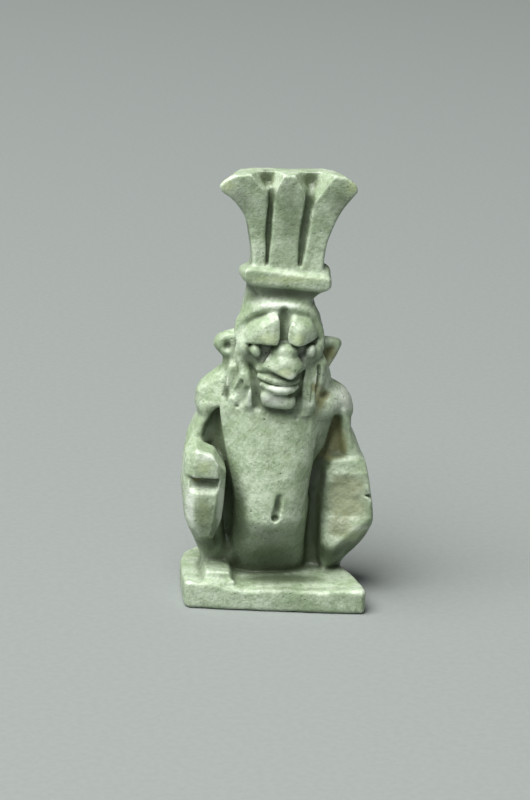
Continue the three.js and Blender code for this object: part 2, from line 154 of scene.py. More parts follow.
def tower(sections, power, rounding=0.4):
    """Level sections (z, x, half width, front, back): boxier the larger their power."""
    rows = np.array(sections, dtype=float)

    def profile(z, column):
        fine = np.linspace(rows[0, 0], rows[-1, 0], PROFILE_STEPS)
        values = np.interp(fine, rows[:, 0], rows[:, column])
        kernel = np.hanning(2 * PROFILE_REACH + 1)
        padded = np.pad(values, PROFILE_REACH, mode="edge")
        values = np.convolve(padded, kernel / kernel.sum(), mode="valid")
        return np.interp(z, fine, values)

    def distance(x, y, z):
        middle, half, front, back = (profile(z, column) for column in (1, 2, 3, 4))
        across = np.abs(x - middle) / half
        deep = np.abs(y - (front + back) / 2) / ((back - front) / 2)
        size = (across**power + deep**power) ** (1.0 / power)
        size = np.maximum(size, 0.05)
        lean_x = (across / size) ** (power - 1.0) / half
        lean_y = (deep / size) ** (power - 1.0) / ((back - front) / 2)
        side = (size - 1.0) / np.maximum(np.sqrt(lean_x**2 + lean_y**2), 1e-3)
        ends = np.maximum(z - rows[-1, 0], rows[0, 0] - z)
        return soft_max(side, ends + np.zeros_like(side), rounding)

    low = [(rows[:, 1] - rows[:, 2]).min(), rows[:, 3].min(), rows[0, 0]]
    high = [(rows[:, 1] + rows[:, 2]).max(), rows[:, 4].max(), rows[-1, 0]]
    return Shape(low, high, distance)


def softened(outline):
    """The outline with its corners cut off."""
    corners = np.array(outline, dtype=float)
    following = np.roll(corners, -1, axis=0)
    first = corners * (1.0 - CORNER_CUT) + following * CORNER_CUT
    second = corners * CORNER_CUT + following * (1.0 - CORNER_CUT)
    return np.stack([first, second], axis=1).reshape(-1, 2)


def outline_distance(corners, u, v):
    """The signed distance to a closed outline, negative inside."""
    nearest = None
    inside = None
    for start, end in zip(corners, np.roll(corners, -1, axis=0)):
        way = end - start
        du, dv = u - start[0], v - start[1]
        share = np.clip((du * way[0] + dv * way[1]) / (way @ way), 0.0, 1.0)
        gap = (du - share * way[0]) ** 2 + (dv - share * way[1]) ** 2
        nearest = gap if nearest is None else np.minimum(nearest, gap)
        crosses = (start[1] > v) != (end[1] > v)
        rise = way[1] if abs(way[1]) > 1e-9 else 1e-9
        left = u < start[0] + (v - start[1]) * way[0] / rise
        flips = crosses & left
        inside = flips if inside is None else inside ^ flips
    return np.where(inside, -1.0, 1.0) * np.sqrt(nearest)


def rounded_wall(across, through, rounding):
    """A wall's distance from the distances to its outline and to its two faces."""
    a = across + rounding
    b = through + rounding
    corner = np.sqrt(np.maximum(a, 0.0) ** 2 + np.maximum(b, 0.0) ** 2)
    return corner + np.minimum(np.maximum(a, b), 0.0) - rounding


def front_plate(outline, front, back, rounding):
    """A plate with an outline (x, z) in the front view; front and back are functions of z."""
    points = softened(outline)

    def distance(x, y, z):
        across = outline_distance(points, x, z)
        through = np.maximum(front(z) - y, y - back(z))
        return rounded_wall(across, through, rounding)

    levels = np.linspace(points[:, 1].min(), points[:, 1].max(), 9)
    low = [points[:, 0].min(), min(front(z) for z in levels), points[:, 1].min()]
    high = [points[:, 0].max(), max(back(z) for z in levels), points[:, 1].max()]
    return Shape(low, high, distance)


def ground_plate(outline, bottom, top, rounding):
    """A plate with an outline (x, y) in the top view; bottom and top are functions of x and y."""
    points = softened(outline)

    def distance(x, y, z):
        across = outline_distance(points, x, y)
        through = np.maximum(bottom(x, y) - z, z - top(x, y))
        return rounded_wall(across, through, rounding)

    low = [*points.min(axis=0), min(bottom(x, y) for x, y in points)]
    high = [*points.max(axis=0), max(top(x, y) for x, y in points)]
    return Shape(low, high, distance)


def carved(shape, cutter, blend):
    """The shape with the cutter taken away."""

    def distance(x, y, z):
        return soft_max(shape.distance(x, y, z), -cutter.distance(x, y, z), blend)

    return Shape(shape.low, shape.high, distance)


def mottle(spacing, seed):
    """Smooth noise from -1 to 1 with the given spacing, as a function of place."""
    lattice = np.random.default_rng(seed)
    counts = [int(size / spacing) + NOISE_SPARE for size in NOISE_SIZE]
    values = lattice.uniform(-1.0, 1.0, counts).astype(np.float32)
    start = np.array(NOISE_LOW)

    def weights(places, axis):
        steps = (np.ravel(places) - start[axis]) / spacing
        gap = np.abs(steps[:, None] - np.arange(counts[axis])[None, :])
        near = 2 / 3 - gap**2 + gap**3 / 2
        away = (2 - gap) ** 3 / 6
        return np.where(gap < 1, near, np.where(gap < 2, away, 0.0)).astype(np.float32)

    def noise(x, y, z):
        block = np.tensordot(weights(x, 0), values, axes=(1, 0))
        block = np.tensordot(block, weights(y, 1), axes=(1, 1))
        block = np.tensordot(block, weights(z, 2), axes=(1, 1))
        return block * NOISE_GAIN

    return noise


class Clay:
    """Signed distances in millimetres on a grid, negative inside the clay."""

    def __init__(self, low, high):
        self.low = np.array(low, dtype=float)
        self.axes = [
            np.arange(start, end + STEP, STEP, dtype=np.float32) for start, end in zip(low, high)
        ]
        self.field = np.full([len(axis) for axis in self.axes], FAR, dtype=np.float32)

    def window(self, shape, margin):
        """The part of the grid that the shape reaches, and the places of its points."""
        spans = []
        for axis, low, high in zip(self.axes, shape.low, shape.high):
            first = int(np.searchsorted(axis, low - margin))
            last = int(np.searchsorted(axis, high + margin))
            spans.append(slice(first, last))
        x, y, z = (axis[span] for axis, span in zip(self.axes, spans))
        return tuple(spans), (x[:, None, None], y[None, :, None], z[None, None, :])

    def add(self, shape, blend=0.2):
        spans, place = self.window(shape, blend + 3 * STEP)
        self.field[spans] = soft_min(self.field[spans], shape.distance(*place), blend)

    def cut(self, shape, blend):
        spans, place = self.window(shape, blend + 3 * STEP)
        self.field[spans] = soft_max(self.field[spans], -shape.distance(*place), blend)

    def roughen(self, noise, depth):
        """Moves the whole surface in and out by noise."""
        self.field += depth * noise(*np.ix_(*self.axes))

    def skin(self):
        """One mesh over the clay: a point in each cell that the surface crosses."""
        field = self.field
        inside = field < 0
        cells = tuple(size - 1 for size in field.shape)
        total = np.zeros(cells + (3,), dtype=np.float32)
        count = np.zeros(cells, dtype=np.int32)
        crossings = []
        for axis in range(3):
            low_side = [slice(None)] * 3
            high_side = [slice(None)] * 3
            low_side[axis] = slice(None, -1)
            high_side[axis] = slice(1, None)
            crossed = inside[tuple(low_side)] != inside[tuple(high_side)]
            edges = np.argwhere(crossed)
            start = field[tuple(low_side)][crossed]
            end = field[tuple(high_side)][crossed]
            places = edges.astype(np.float32)
            places[:, axis] += start / (start - end)
            others = [other for other in range(3) if other != axis]
            neighbours = []
            for back_a, back_b in ((0, 0), (1, 0), (1, 1), (0, 1)):
                cell = edges.copy()
                cell[:, others[0]] -= back_a
                cell[:, others[1]] -= back_b
                neighbours.append(cell)
                np.add.at(total, tuple(cell.T), places)
                np.add.at(count, tuple(cell.T), 1)
            crossings.append((axis, start < 0, neighbours))
        used = count > 0
        number = np.full(cells, -1, dtype=np.int64)
        number[used] = np.arange(used.sum())
        points = total[used] / count[used][:, None]
        quads = []
        for axis, outward, neighbours in crossings:
            quad = np.stack([number[tuple(cell.T)] for cell in neighbours], axis=1)
            turned = outward if axis != 1 else ~outward
            quad[~turned] = quad[~turned][:, ::-1]
            quads.append(quad)
        return self.settle(points * STEP + self.low), np.concatenate(quads)

    def sample(self, volume, points):
        """The volume's value at each point, between the grid's values."""
        steps = (points - self.low) / STEP
        base = np.clip(np.floor(steps).astype(int), 0, np.array(volume.shape) - 2)
        share = steps - base
        value = np.zeros(len(points))
        for corner in np.ndindex(2, 2, 2):
            weight = np.prod(np.where(corner, share, 1.0 - share), axis=1)
            value += weight * volume[tuple((base + corner).T)]
        return value

    def settle(self, points):
        """The points moved onto the surface itself."""
        for _ in range(2):
            slope = np.stack(
                [
                    self.sample(self.field, points + offset)
                    - self.sample(self.field, points - offset)
                    for offset in np.eye(3) * STEP * 0.5
                ],
                axis=1,
            ) / STEP
            gap = self.sample(self.field, points)
            squared = np.maximum((slope**2).sum(axis=1), FLATTEST)
            points = points - np.clip(gap / squared, -STEP, STEP)[:, None] * slope
        return points


# The figure's forms, from the plinth up


def make_plinth(clay):
    outline = [
        (-8.4, -4.2), (-7.9, -5.0), (6.9, -6.6), (7.45, -6.1), (7.3, -4.7), (6.85, -2.6), (6.2, -0.4),
        (5.75, 0.8), (5.1, 3.4), (4.3, 5.9), (-6.5, 5.9), (-8.35, 3.5),
    ]

    def top(x, y):
        front = np.exp(-((y + 5.2 + 0.11 * (x + 6)) ** 2) / 1.1)
        raised = 0.38 / (1 + np.exp((x + 4.9) / 0.28))
        sunk = -0.24 * np.exp(-((x + 3.2) ** 2) / 2.6)
        wave = 0.05 * np.sin(1.3 * x + 0.4) + 0.04 * np.sin(2.9 * x)
        return PLINTH_TOP + front * (raised + sunk + wave) + 0.05 * np.sin(0.7 * x - 0.5 * y)

    def bottom(x, y):
        return 0.0 * x

    clay.add(ground_plate(outline, bottom, top, 0.4))
    behind_lip = rod((-3.2, -4.1, 2.28, 0.25), (1.0, -4.5, 2.3, 0.25), (5.8, -4.9, 2.32, 0.25))
    clay.cut(behind_lip, 0.5)


def make_torso(clay):
    belly = tower(
        [
            (1.6, -0.75, 3.5, -1.2, 3.4), (2.4, -0.75, 3.5, -1.5, 3.8), (3.4, -0.75, 3.45, -2.1, 3.9),
            (4.6, -0.75, 3.4, -2.85, 3.9), (5.6, -0.75, 3.35, -3.4, 3.8), (6.8, -0.7, 3.3, -4.05, 3.6),
            (7.6, -0.7, 3.3, -4.5, 3.5), (9.6, -0.7, 3.45, -4.4, 3.4), (12.3, -0.75, 3.9, -4.0, 3.2),
            (14.5, -0.8, 4.35, -3.5, 3.3), (17.1, -0.8, 4.5, -2.95, 3.4), (18.9, -0.8, 4.0, -2.3, 2.9),
        ],
        2.4,
    )
    heights = [2.0, 5.0, 7.0, 9.3, 11.0, 12.8, 15.0, 16.0, 16.6, 17.2, 19.0]
    reaches = [1.6, 1.75, 1.95, 2.05, 2.2, 2.45, 2.6, 2.9, 3.5, 4.2, 4.2]

    def past_edge(x, y, z):
        return (np.interp(z, heights, reaches) + 0.25 * (y + 3.6) - x) / 1.03

    edge = Shape([-9, -9, 0], [9, 9, 40], past_edge)
    clay.add(carved(belly, edge, 0.07))
    back = tower(
        [
            (2.0, -0.1, 4.6, 1.0, 3.7), (3.7, -0.1, 5.4, 0.9, 4.0), (6.6, -0.2, 6.5, 0.6, 3.9),
            (10.6, -0.4, 6.6, 0.4, 3.5), (13.6, -0.6, 6.1, 0.6, 3.4), (16.1, -0.6, 6.2, 0.6, 3.6),
            (18.1, -0.6, 5.9, 0.0, 3.5), (19.4, -0.6, 4.6, 0.0, 2.9),
        ],
        2.8,
        rounding=0.8,
    )
    clay.add(back, 0.3)
    chest = [
        (-4.6, -2.0, 18.9), (3.6, -2.0, 18.6), (-4.9, -1.9, 16.9), (4.4, -1.2, 17.0), (2.7, -2.7, 17.1),
        (2.75, -2.7, 18.4), (-3.9, -2.6, 17.5), (-4.5, 1.0, 19.5), (4.0, 1.0, 19.0), (-5.0, 1.0, 16.5),
        (4.6, 1.0, 16.9),
    ]
    clay.add(facets(chest, 0.4), 0.3)
    chest_side = [
        (-5.45, -1.2, 18.2), (-5.5, -1.6, 17.4), (-5.25, -1.75, 15.6), (-4.95, -1.85, 13.9),
        (-3.75, -2.4, 9.0), (-3.0, -2.3, 18.0), (-3.0, -2.9, 14.5), (-3.0, -3.1, 9.0),
        (-5.4, 0.5, 18.2), (-4.9, 0.5, 13.9), (-3.6, 0.5, 9.0), (-3.0, 0.5, 18.2),
    ]
    clay.add(facets(chest_side, 0.14), 0.4)
    right_flank = [
        (-4.2, -1.6, 17.4), (-5.5, -0.5, 17.3), (-4.2, -1.7, 13.0), (-6.8, 0.5, 13.4),
        (-6.4, 0.4, 15.6), (-5.7, 0.4, 17.6), (-4.0, 1.5, 13.0), (-3.5, -0.2, 10.0), (-3.0, -0.2, 3.4),
        (-6.0, 0.6, 9.0), (-5.4, 0.6, 4.0),
    ]
    clay.add(facets(right_flank, 0.3), 0.4)
    left_flank = [
        (2.3, -2.6, 17.2), (4.75, -0.95, 16.75), (3.55, -1.1, 12.8), (3.1, -0.6, 10.6),
        (2.2, -1.7, 12.0), (2.4, -2.5, 15.0), (2.0, 1.0, 10.0), (4.4, 1.0, 16.8), (3.5, 1.0, 12.6),
        (2.9, 1.0, 10.0),
    ]
    clay.add(facets(left_flank, 0.2), 0.3)
    for side, middle in ((-1, -0.35), (1, -0.25)):
        clay.add(ball((middle + side * 2.5, 2.9, 5.2), (2.5, 1.4, 2.4)), 0.7)
        clay.add(ball((middle + side * 2.7, 2.6, 15.8), (2.1, 1.1, 2.4), 12 * side), 0.7)
    clay.cut(rod((-0.3, 4.1, 14.8, 0.45), (-0.3, 3.9, 10.0, 0.42), (-0.2, 4.5, 5.5, 0.5)), 0.5)
    clay.cut(rod((-0.2, 4.5, 5.5, 0.4), (-0.2, 4.4, 2.4, 0.45)), 0.3)


def make_right_arm(clay):
    """The arm at the viewer's left, with its hand on the knee."""
    arm = tower(
        [
            (11.1, -7.0, 1.4, -1.6, 2.0), (12.9, -7.2, 1.15, -1.5, 2.2), (14.4, -7.3, 0.75, -1.0, 2.4),
            (15.5, -6.95, 0.6, -0.9, 2.5), (16.2, -6.55, 0.6, -0.9, 2.5), (16.9, -6.5, 0.9, -1.1, 2.6),
            (17.6, -6.2, 1.25, -1.2, 2.6),
        ],
        2.2,
    )
    clay.add(arm, 0.3)
    shoulder = [
        (-7.45, 0.6, 17.7), (-7.4, 0.6, 18.4), (-7.05, 0.8, 19.0), (-6.4, 0.9, 19.6),
        (-5.2, 1.0, 20.55), (-7.25, -0.3, 18.4), (-6.7, -0.4, 19.0), (-5.7, -0.4, 19.68),
        (-4.85, -0.4, 20.25), (-7.2, -0.6, 17.2), (-6.2, -1.3, 17.3), (-5.2, -1.5, 17.6),
        (-4.6, -1.4, 18.6), (-4.3, -0.9, 20.2), (-7.1, 0.3, 16.4), (-6.2, -0.9, 16.6),
        (-4.4, 2.6, 20.2), (-6.6, 2.6, 18.8), (-7.0, 2.4, 17.4), (-6.2, 2.4, 16.4), (-4.8, 2.4, 16.6),
    ]
    clay.add(facets(shoulder, 0.1), 0.15)
    elbow = [
        (-8.45, -0.5, 11.9), (-8.3, 0.6, 13.1), (-7.85, 0.6, 14.5), (-7.25, -0.7, 14.6),
        (-6.9, -1.2, 14.2), (-6.6, -1.3, 13.9), (-8.3, 0.8, 11.8), (-8.5, -1.8, 12.0),
        (-8.4, -1.8, 13.3), (-6.0, -1.0, 12.5), (-6.0, 1.5, 12.5), (-7.0, 1.5, 14.8),
    ]
    clay.add(facets(elbow, 0.25), 0.3)
    clay.add(rod((-6.1, 0.4, 16.6, 0.5), (-6.5, 0.35, 14.0, 0.65)), 0.3)


def make_knee_column(clay):
    """The hand, and under it the knee and shin, cut as one upright with bevelled sides."""
    rows = np.array(
        [
            (5.6, -7.35, -3.4, -5.85, 0.5), (6.2, -7.65, -3.85, -5.68, 0.65),
            (7.0, -8.05, -4.15, -5.33, 0.8), (7.7, -8.28, -4.3, -5.15, 0.85),
            (9.1, -8.5, -4.4, -4.97, 0.85), (10.6, -8.62, -4.3, -4.87, 0.85),
            (11.8, -8.55, -4.3, -4.86, 0.8), (12.9, -8.5, -4.25, -4.84, 0.8),
            (14.4, -8.2, -4.0, -5.0, 0.9),
        ]
    )
    steep = 1.25
    slant = math.hypot(steep, 1.0)
    ends = [
        ((0.34, -0.08, 0.94), (-7.0, -4.1, 13.9)), ((0.8, -0.1, 0.6), (-6.0, -4.0, 13.5)),
        ((-0.64, -0.1, 0.76), (-7.75, -4.0, 13.85)), ((0.0, -0.44, -0.9), (-6.8, -3.7, 6.25)),
    ]

    def distance(x, y, z):
        left, front, right, bevel = (np.interp(z, rows[:, 0], rows[:, col]) for col in range(1, 5))
        sides = [
            front - y,
            left - x,
            x - right,
            (-steep * (x - left - bevel) - (y - front)) / slant,
            (steep * (x - right + bevel) - (y - front)) / slant,
            y + 1.0,
        ]
        for (nx, ny, nz), (px, py, pz) in ends:
            sides.append(nx * (x - px) + ny * (y - py) + nz * (z - pz))
        furthest = sides[0]
        for side in sides[1:]:
            furthest = soft_max(furthest, side, 0.08)
        return furthest

    clay.add(Shape([-8.7, -4.5, 5.4], [-4.8, -1.0, 14.6], distance), 0.1)
    gap = [
        (-8.25, -5.0, 11.85), (-5.35, -5.0, 11.7), (-8.1, -3.55, 11.75), (-5.6, -3.55, 11.55),
        (-8.0, -3.7, 10.85), (-5.65, -3.7, 10.75), (-7.9, -5.2, 9.65), (-7.0, -5.2, 10.0),
        (-5.7, -5.2, 9.9),
    ]
    clay.cut(facets(gap, 0.14), 0.2)
    clay.cut(rod((-9.1, -3.2, 11.6, 0.2), (-8.2, -4.1, 11.5, 0.26)), 0.3)
    ankle = [
        (-7.75, -1.0, 6.6), (-7.3, -2.9, 6.5), (-6.1, -2.9, 6.4), (-5.4, -1.0, 6.6), (-7.5, 1.0, 6.2),
        (-5.4, 1.0, 6.2), (-6.5, -0.6, 3.4), (-5.1, -0.9, 3.0), (-6.4, 1.0, 3.3), (-4.7, 1.0, 3.0),
    ]
    clay.add(facets(ankle, 0.5), 0.45)
    foot = [
        (-6.65, -4.25, 2.0), (-4.0, -4.4, 2.0), (-6.5, -4.1, 3.1), (-4.35, -4.2, 3.12),
        (-6.5, 1.0, 3.2), (-4.4, 1.0, 3.0), (-6.9, 1.0, 2.0), (-3.6, 1.0, 2.0), (-6.8, -2.0, 2.0),
        (-3.8, -2.0, 2.0),
    ]
    clay.add(facets(foot, 0.22), 0.35)
    clay.add(ball((-4.4, 0.6, 3.3), (1.3, 1.5, 1.7)), 0.6)
    clay.add(rod((-6.5, -4.45, 2.28, 0.26), (-4.2, -4.5, 2.2, 0.26)), 0.4)
    calf_line = rod((-8.95, -1.2, 10.2, 0.3), (-8.75, 0.4, 7.6, 0.3), (-8.0, 1.0, 5.3, 0.26))
    clay.cut(calf_line, 0.25)


def make_thigh(clay):
    """The thigh at the viewer's left, behind the knee and the shin."""
    thigh = tower(
        [
            (2.0, -5.4, 0.95, -1.0, 2.2), (3.5, -5.6, 1.2, -1.2, 2.6), (4.9, -6.0, 1.4, -1.7, 3.2),
            (6.7, -6.5, 1.7, -2.1, 3.5), (9.7, -6.75, 1.8, -2.2, 3.2), (11.9, -6.6, 1.8, -2.0, 2.4),
            (12.9, -6.4, 1.5, -1.4, 1.8),
        ],
        2.6,
        rounding=0.6,
    )
    clay.add(thigh, 0.3)


def make_left_arm(clay):
    """The arm at the viewer's right, whose hand is lost."""
    arm = tower(
        [
            (11.5, 6.2, 1.3, -1.0, 2.0), (12.6, 6.4, 0.95, -1.0, 2.1), (13.9, 5.95, 0.85, -0.9, 2.3),
            (15.0, 5.66, 0.6, -0.85, 2.5), (15.9, 5.64, 0.62, -0.95, 2.6), (17.0, 5.5, 0.8, -1.1, 2.6),
        ],
        2.4,
        rounding=0.3,
    )
    clay.add(arm, 0.3)
    inner = [
        (5.0, 0.4, 16.7), (5.05, 0.5, 13.2), (5.9, -0.9, 16.4), (5.95, -0.9, 15.0), (6.3, -1.0, 13.4),
        (6.0, 1.5, 16.7), (6.2, 1.5, 12.6), (5.6, 0.4, 12.4),
    ]
    clay.add(facets(inner, 0.2), 0.2)
    clay.add(rod((4.9, 0.8, 16.2, 0.6), (4.7, 0.6, 13.2, 0.8)), 0.5)
    shoulder = [
        (3.5, 0.6, 20.0), (5.17, 0.6, 19.1), (5.93, 0.6, 18.5), (6.42, 0.6, 17.6), (6.62, 0.6, 16.7),
        (6.6, 0.4, 16.2), (6.25, 0.2, 15.9), (5.0, 0.2, 15.9), (3.4, -1.1, 19.3), (4.6, -1.3, 18.7),
        (5.6, -1.2, 18.1), (6.1, -0.9, 17.3), (6.2, -0.7, 16.4), (5.1, -1.0, 16.4), (4.7, -1.2, 16.7),
        (3.2, -1.8, 17.4), (3.5, 2.6, 19.4), (5.4, 2.5, 18.4), (6.2, 2.4, 17.2), (6.0, 2.4, 16.0),
        (4.6, 2.4, 15.8),
    ]
    clay.add(facets(shoulder, 0.3), 0.25)
    clay.add(ball((3.5, -1.15, 17.3), (1.3, 0.95, 1.0)), 0.6)
    clay.cut(ball((6.3, -1.0, 16.6), (0.5, 0.35, 0.45)), 0.4)
    clay.cut(ball((5.2, -1.6, 18.2), (0.35, 0.3, 0.3)), 0.3)


def make_left_leg(clay):
    """The leg at the viewer's right, broken off in front."""
    leg = tower(
        [
            (2.0, 4.9, 0.9, -1.1, 2.4), (2.7, 4.9, 1.05, -1.3, 2.6), (3.7, 5.3, 1.65, -1.9, 3.1),
            (4.9, 5.75, 2.15, -2.8, 3.4), (6.5, 6.05, 2.4, -3.6, 3.6), (8.3, 6.0, 2.32, -3.6, 3.4),
            (10.5, 5.8, 2.1, -3.6, 3.0), (11.9, 5.6, 2.0, -3.4, 2.4), (12.5, 5.6, 1.9, -3.0, 2.0),
        ],
        2.8,
        rounding=0.35,
    )
    rough = mottle(0.9, 11)
    middling = mottle(0.42, 13)
    fine = mottle(0.24, 12)

    def broken(x, y, z):
        forward = 0.34 * np.maximum(7.4 - z, 0.0) - 0.5 * np.maximum(z - 11.3, 0.0)
        scoop = 0.42 * np.exp(-((x - 5.6) ** 2) / 3.0 - ((z - 9.4) ** 2) / 5.0)
        rounded = 1.7 * np.exp(-(x - 3.5) / 1.0)
        face = y + 2.0 - scoop - rounded + forward - 0.05 * (x - 5.7)
        return face + 0.12 * rough(x, y, z) + 0.07 * middling(x, y, z) + 0.04 * fine(x, y, z)

    def under(x, y, z):
        return -(0.507 * (x - 4.4) - 0.678 * (y + 2.5) - 0.531 * (z - 4.9) - 0.3)

    low, high = [2.5, -9, 0], [10, 9, 15]
    leg = carved(leg, Shape(low, high, under), 0.4)
    clay.add(carved(leg, Shape(low, high, broken), 0.35), 0.35)
    notch = [
        (7.1, -3.0, 9.55), (9.0, -3.0, 10.0), (9.0, -3.0, 8.3), (7.5, -1.4, 9.3), (9.0, -0.9, 9.6),
        (9.0, -0.9, 8.6),
    ]
    clay.cut(facets(notch, 0.08), 0.12)
    calf_line = rod(
        (8.6, -1.2, 9.2, 0.24), (8.75, 0.0, 8.3, 0.26), (8.5, 0.8, 6.5, 0.26), (7.6, 1.3, 4.3, 0.25),
    )
    clay.cut(calf_line, 0.15)


def make_armpit(clay):
    """The dark corner between the flank and the arm at the viewer's left."""
    corner = rod((-5.55, -0.9, 16.9, 0.12), (-5.75, -0.7, 15.6, 0.3), (-5.9, -0.8, 14.2, 0.4))
    clay.cut(corner, 0.3)


def make_left_knee(clay):
    """What is left of the knee, with the valley between it and the belly."""
    ledge = [
        (4.2, -1.35, 12.2), (7.1, -1.6, 12.4), (3.5, 0.9, 13.2), (6.4, 0.9, 13.4), (4.4, -1.2, 11.8),
        (7.1, -1.3, 11.8), (3.4, 0.9, 11.6), (6.4, 0.9, 11.6),
    ]
    clay.add(facets(ledge, 0.4), 0.4)
    for deeper in (0.0, 0.5, 1.0):
        corner = rod(
            (3.1, -1.3 + deeper, 9.6, 0.5), (3.3, -1.4 + deeper, 11.3, 0.6),
            (3.95, -1.8 + deeper, 12.6, 0.5),
        )
        clay.cut(corner, 0.6)
    valley_floor = rod(
        (3.3, 0.8, 11.6, 0.6), (3.2, 0.55, 9.0, 0.6), (3.2, 0.6, 6.0, 0.6), (3.3, 0.75, 1.9, 0.6),
    )
    clay.add(valley_floor, 0.8)


def make_head(clay):
    skull = tower(
        [
            (17.3, -0.4, 2.6, -2.2, 2.8), (19.1, -0.4, 3.2, -2.6, 3.2), (21.6, -0.4, 3.55, -2.75, 3.4),
            (23.7, -0.4, 3.75, -2.75, 3.5), (25.7, -0.46, 3.25, -2.5, 3.3),
            (26.9, -0.48, 2.93, -2.1, 3.1), (27.6, -0.48, 2.8, -1.6, 2.9),
            (28.6, -0.45, 2.7, -1.0, 2.6),
        ],
        2.4,
    )
    clay.add(skull, 0.3)
    back_mane = tower(
        [
            (15.0, -0.4, 1.5, 1.0, 3.9), (16.0, -0.4, 2.8, 0.6, 4.1), (18.6, -0.4, 3.8, 0.2, 4.1),
            (21.6, -0.4, 3.7, 0.0, 3.8), (23.6, -0.4, 3.2, 0.0, 3.3),
        ],
        2.6,
        rounding=0.6,
    )
    clay.add(back_mane, 0.15)
    clay.add(ball((-3.0, 0.1, 19.6), (1.8, 2.2, 2.9), 12), 0.3)
    clay.add(ball((2.6, 0.1, 19.4), (1.7, 2.2, 2.8), -8), 0.3)
    clay.add(rod((-4.5, 0.3, 21.9, 0.6), (-4.6, 0.3, 20.0, 0.6)), 0.5)
    clay.add(ball((-0.6, -2.1, 20.0), (1.95, 1.3, 2.0)), 0.6)
    hairline = rod(
        (-3.85, -1.1, 24.1, 0.3), (-3.65, -1.45, 24.85, 0.32), (-3.25, -1.8, 25.5, 0.34),
        (-2.65, -2.08, 26.08, 0.34), (-1.95, -2.25, 26.38, 0.34), (-0.85, -2.32, 26.48, 0.32),
        (0.45, -2.32, 26.36, 0.32), (1.4, -2.2, 26.18, 0.32), (2.1, -2.02, 25.85, 0.3),
        (2.55, -1.85, 25.25, 0.28), (2.92, -1.72, 24.4, 0.27), (3.15, -1.62, 23.6, 0.26),
        (3.12, -1.72, 22.7, 0.24),
    )
    hair = rod(
        (-3.7, -0.7, 24.9, 0.4), (-3.35, -1.0, 25.8, 0.45), (-2.7, -1.4, 26.4, 0.5),
        (-1.9, -1.65, 26.7, 0.5), (-0.8, -1.75, 26.75, 0.5), (0.5, -1.75, 26.65, 0.5),
        (1.5, -1.65, 26.5, 0.45), (2.15, -1.4, 26.15, 0.42), (2.55, -1.1, 25.5, 0.4),
        (2.9, -0.9, 24.5, 0.35),
    )
    clay.add(hair, 0.5)
    clay.add(hairline, 0.6)


def make_brows(clay):
    sockets = [
        ball((-1.84, -3.25, 22.45), (0.6, 0.75, 0.75), -10),
        ball((1.41, -3.2, 22.45), (0.55, 0.7, 0.62), 8),
        ball((-0.35, -3.4, 23.4), (0.6, 0.5, 0.35)),
    ]
    for socket in sockets:
        clay.cut(socket, 0.4)
    hair_shadow = rod(
        (-2.0, -2.95, 26.02, 0.12), (-0.84, -2.95, 26.1, 0.26), (0.66, -2.95, 26.0, 0.26),
        (1.7, -2.85, 25.75, 0.18), (2.45, -2.5, 25.0, 0.14),
    )
    clay.cut(hair_shadow, 0.4)
    right = [
        (-1.0, -2.6, 26.25), (-1.55, -2.65, 26.08), (-2.19, -2.6, 25.8), (-2.85, -2.4, 25.42),
        (-3.35, -2.1, 24.98), (-1.12, -3.55, 25.75), (-1.9, -3.65, 25.45), (-2.52, -3.55, 25.0),
        (-3.07, -3.25, 24.5), (-3.5, -2.85, 24.0), (-0.72, -3.35, 25.9), (-0.52, -3.55, 25.2),
        (-0.55, -3.75, 24.24), (-0.8, -3.9, 23.42), (-1.45, -4.1, 24.2), (-1.42, -4.0, 23.45),
        (-2.35, -3.8, 23.56), (-2.92, -3.55, 23.56), (-3.5, -3.0, 23.42), (-3.95, -2.1, 23.3),
        (-3.95, -1.8, 24.1), (-0.7, -2.6, 23.6), (-3.2, -1.8, 23.6), (-0.75, -2.0, 25.7),
        (-3.3, -1.4, 24.8),
    ]
    left = [
        (0.6, -2.6, 25.98), (1.6, -2.6, 25.72), (2.05, -2.4, 25.62), (0.42, -3.3, 25.68),
        (0.08, -3.45, 25.2), (-0.12, -3.6, 24.5), (-0.05, -3.75, 23.75), (0.56, -3.95, 23.4),
        (0.92, -4.0, 23.3), (1.41, -3.85, 23.45), (2.0, -3.4, 23.68), (2.5, -2.95, 24.2),
        (2.42, -2.7, 24.95), (2.3, -3.05, 23.55), (2.85, -2.2, 24.0), (1.1, -4.05, 24.3),
        (1.0, -3.8, 25.1), (1.8, -3.5, 24.9), (0.3, -2.6, 23.6), (2.3, -2.0, 23.7), (0.4, -2.0, 25.5),
        (2.1, -1.8, 25.2),
    ]
    for brow, middle in ((right, (-1.9, -3.0, 24.6)), (left, (1.2, -3.0, 24.6))):
        swollen = [tuple(1.07 * np.array(point) - 0.07 * np.array(middle)) for point in brow]
        clay.add(facets(swollen, 0.36), 0.35)
    clay.cut(ball((1.35, -3.5, 25.75), (0.42, 0.5, 0.36), 8), 0.25)
    furrow = [
        (-0.25, -2.7, 26.2, 0.4), (-0.22, -2.75, 25.6, 0.32), (-0.3, -2.9, 24.6, 0.2),
        (-0.4, -3.05, 23.6, 0.22),
    ]
    for forward in (0.0, -0.4, -0.8):
        clay.cut(rod(*[(x, y + forward, z, radius) for x, y, z, radius in furrow]), 0.2)
    temple = rod((-3.85, -1.3, 25.0, 0.3), (-4.0, -1.35, 24.0, 0.32), (-3.92, -1.6, 22.9, 0.32))
    clay.add(temple, 0.6)


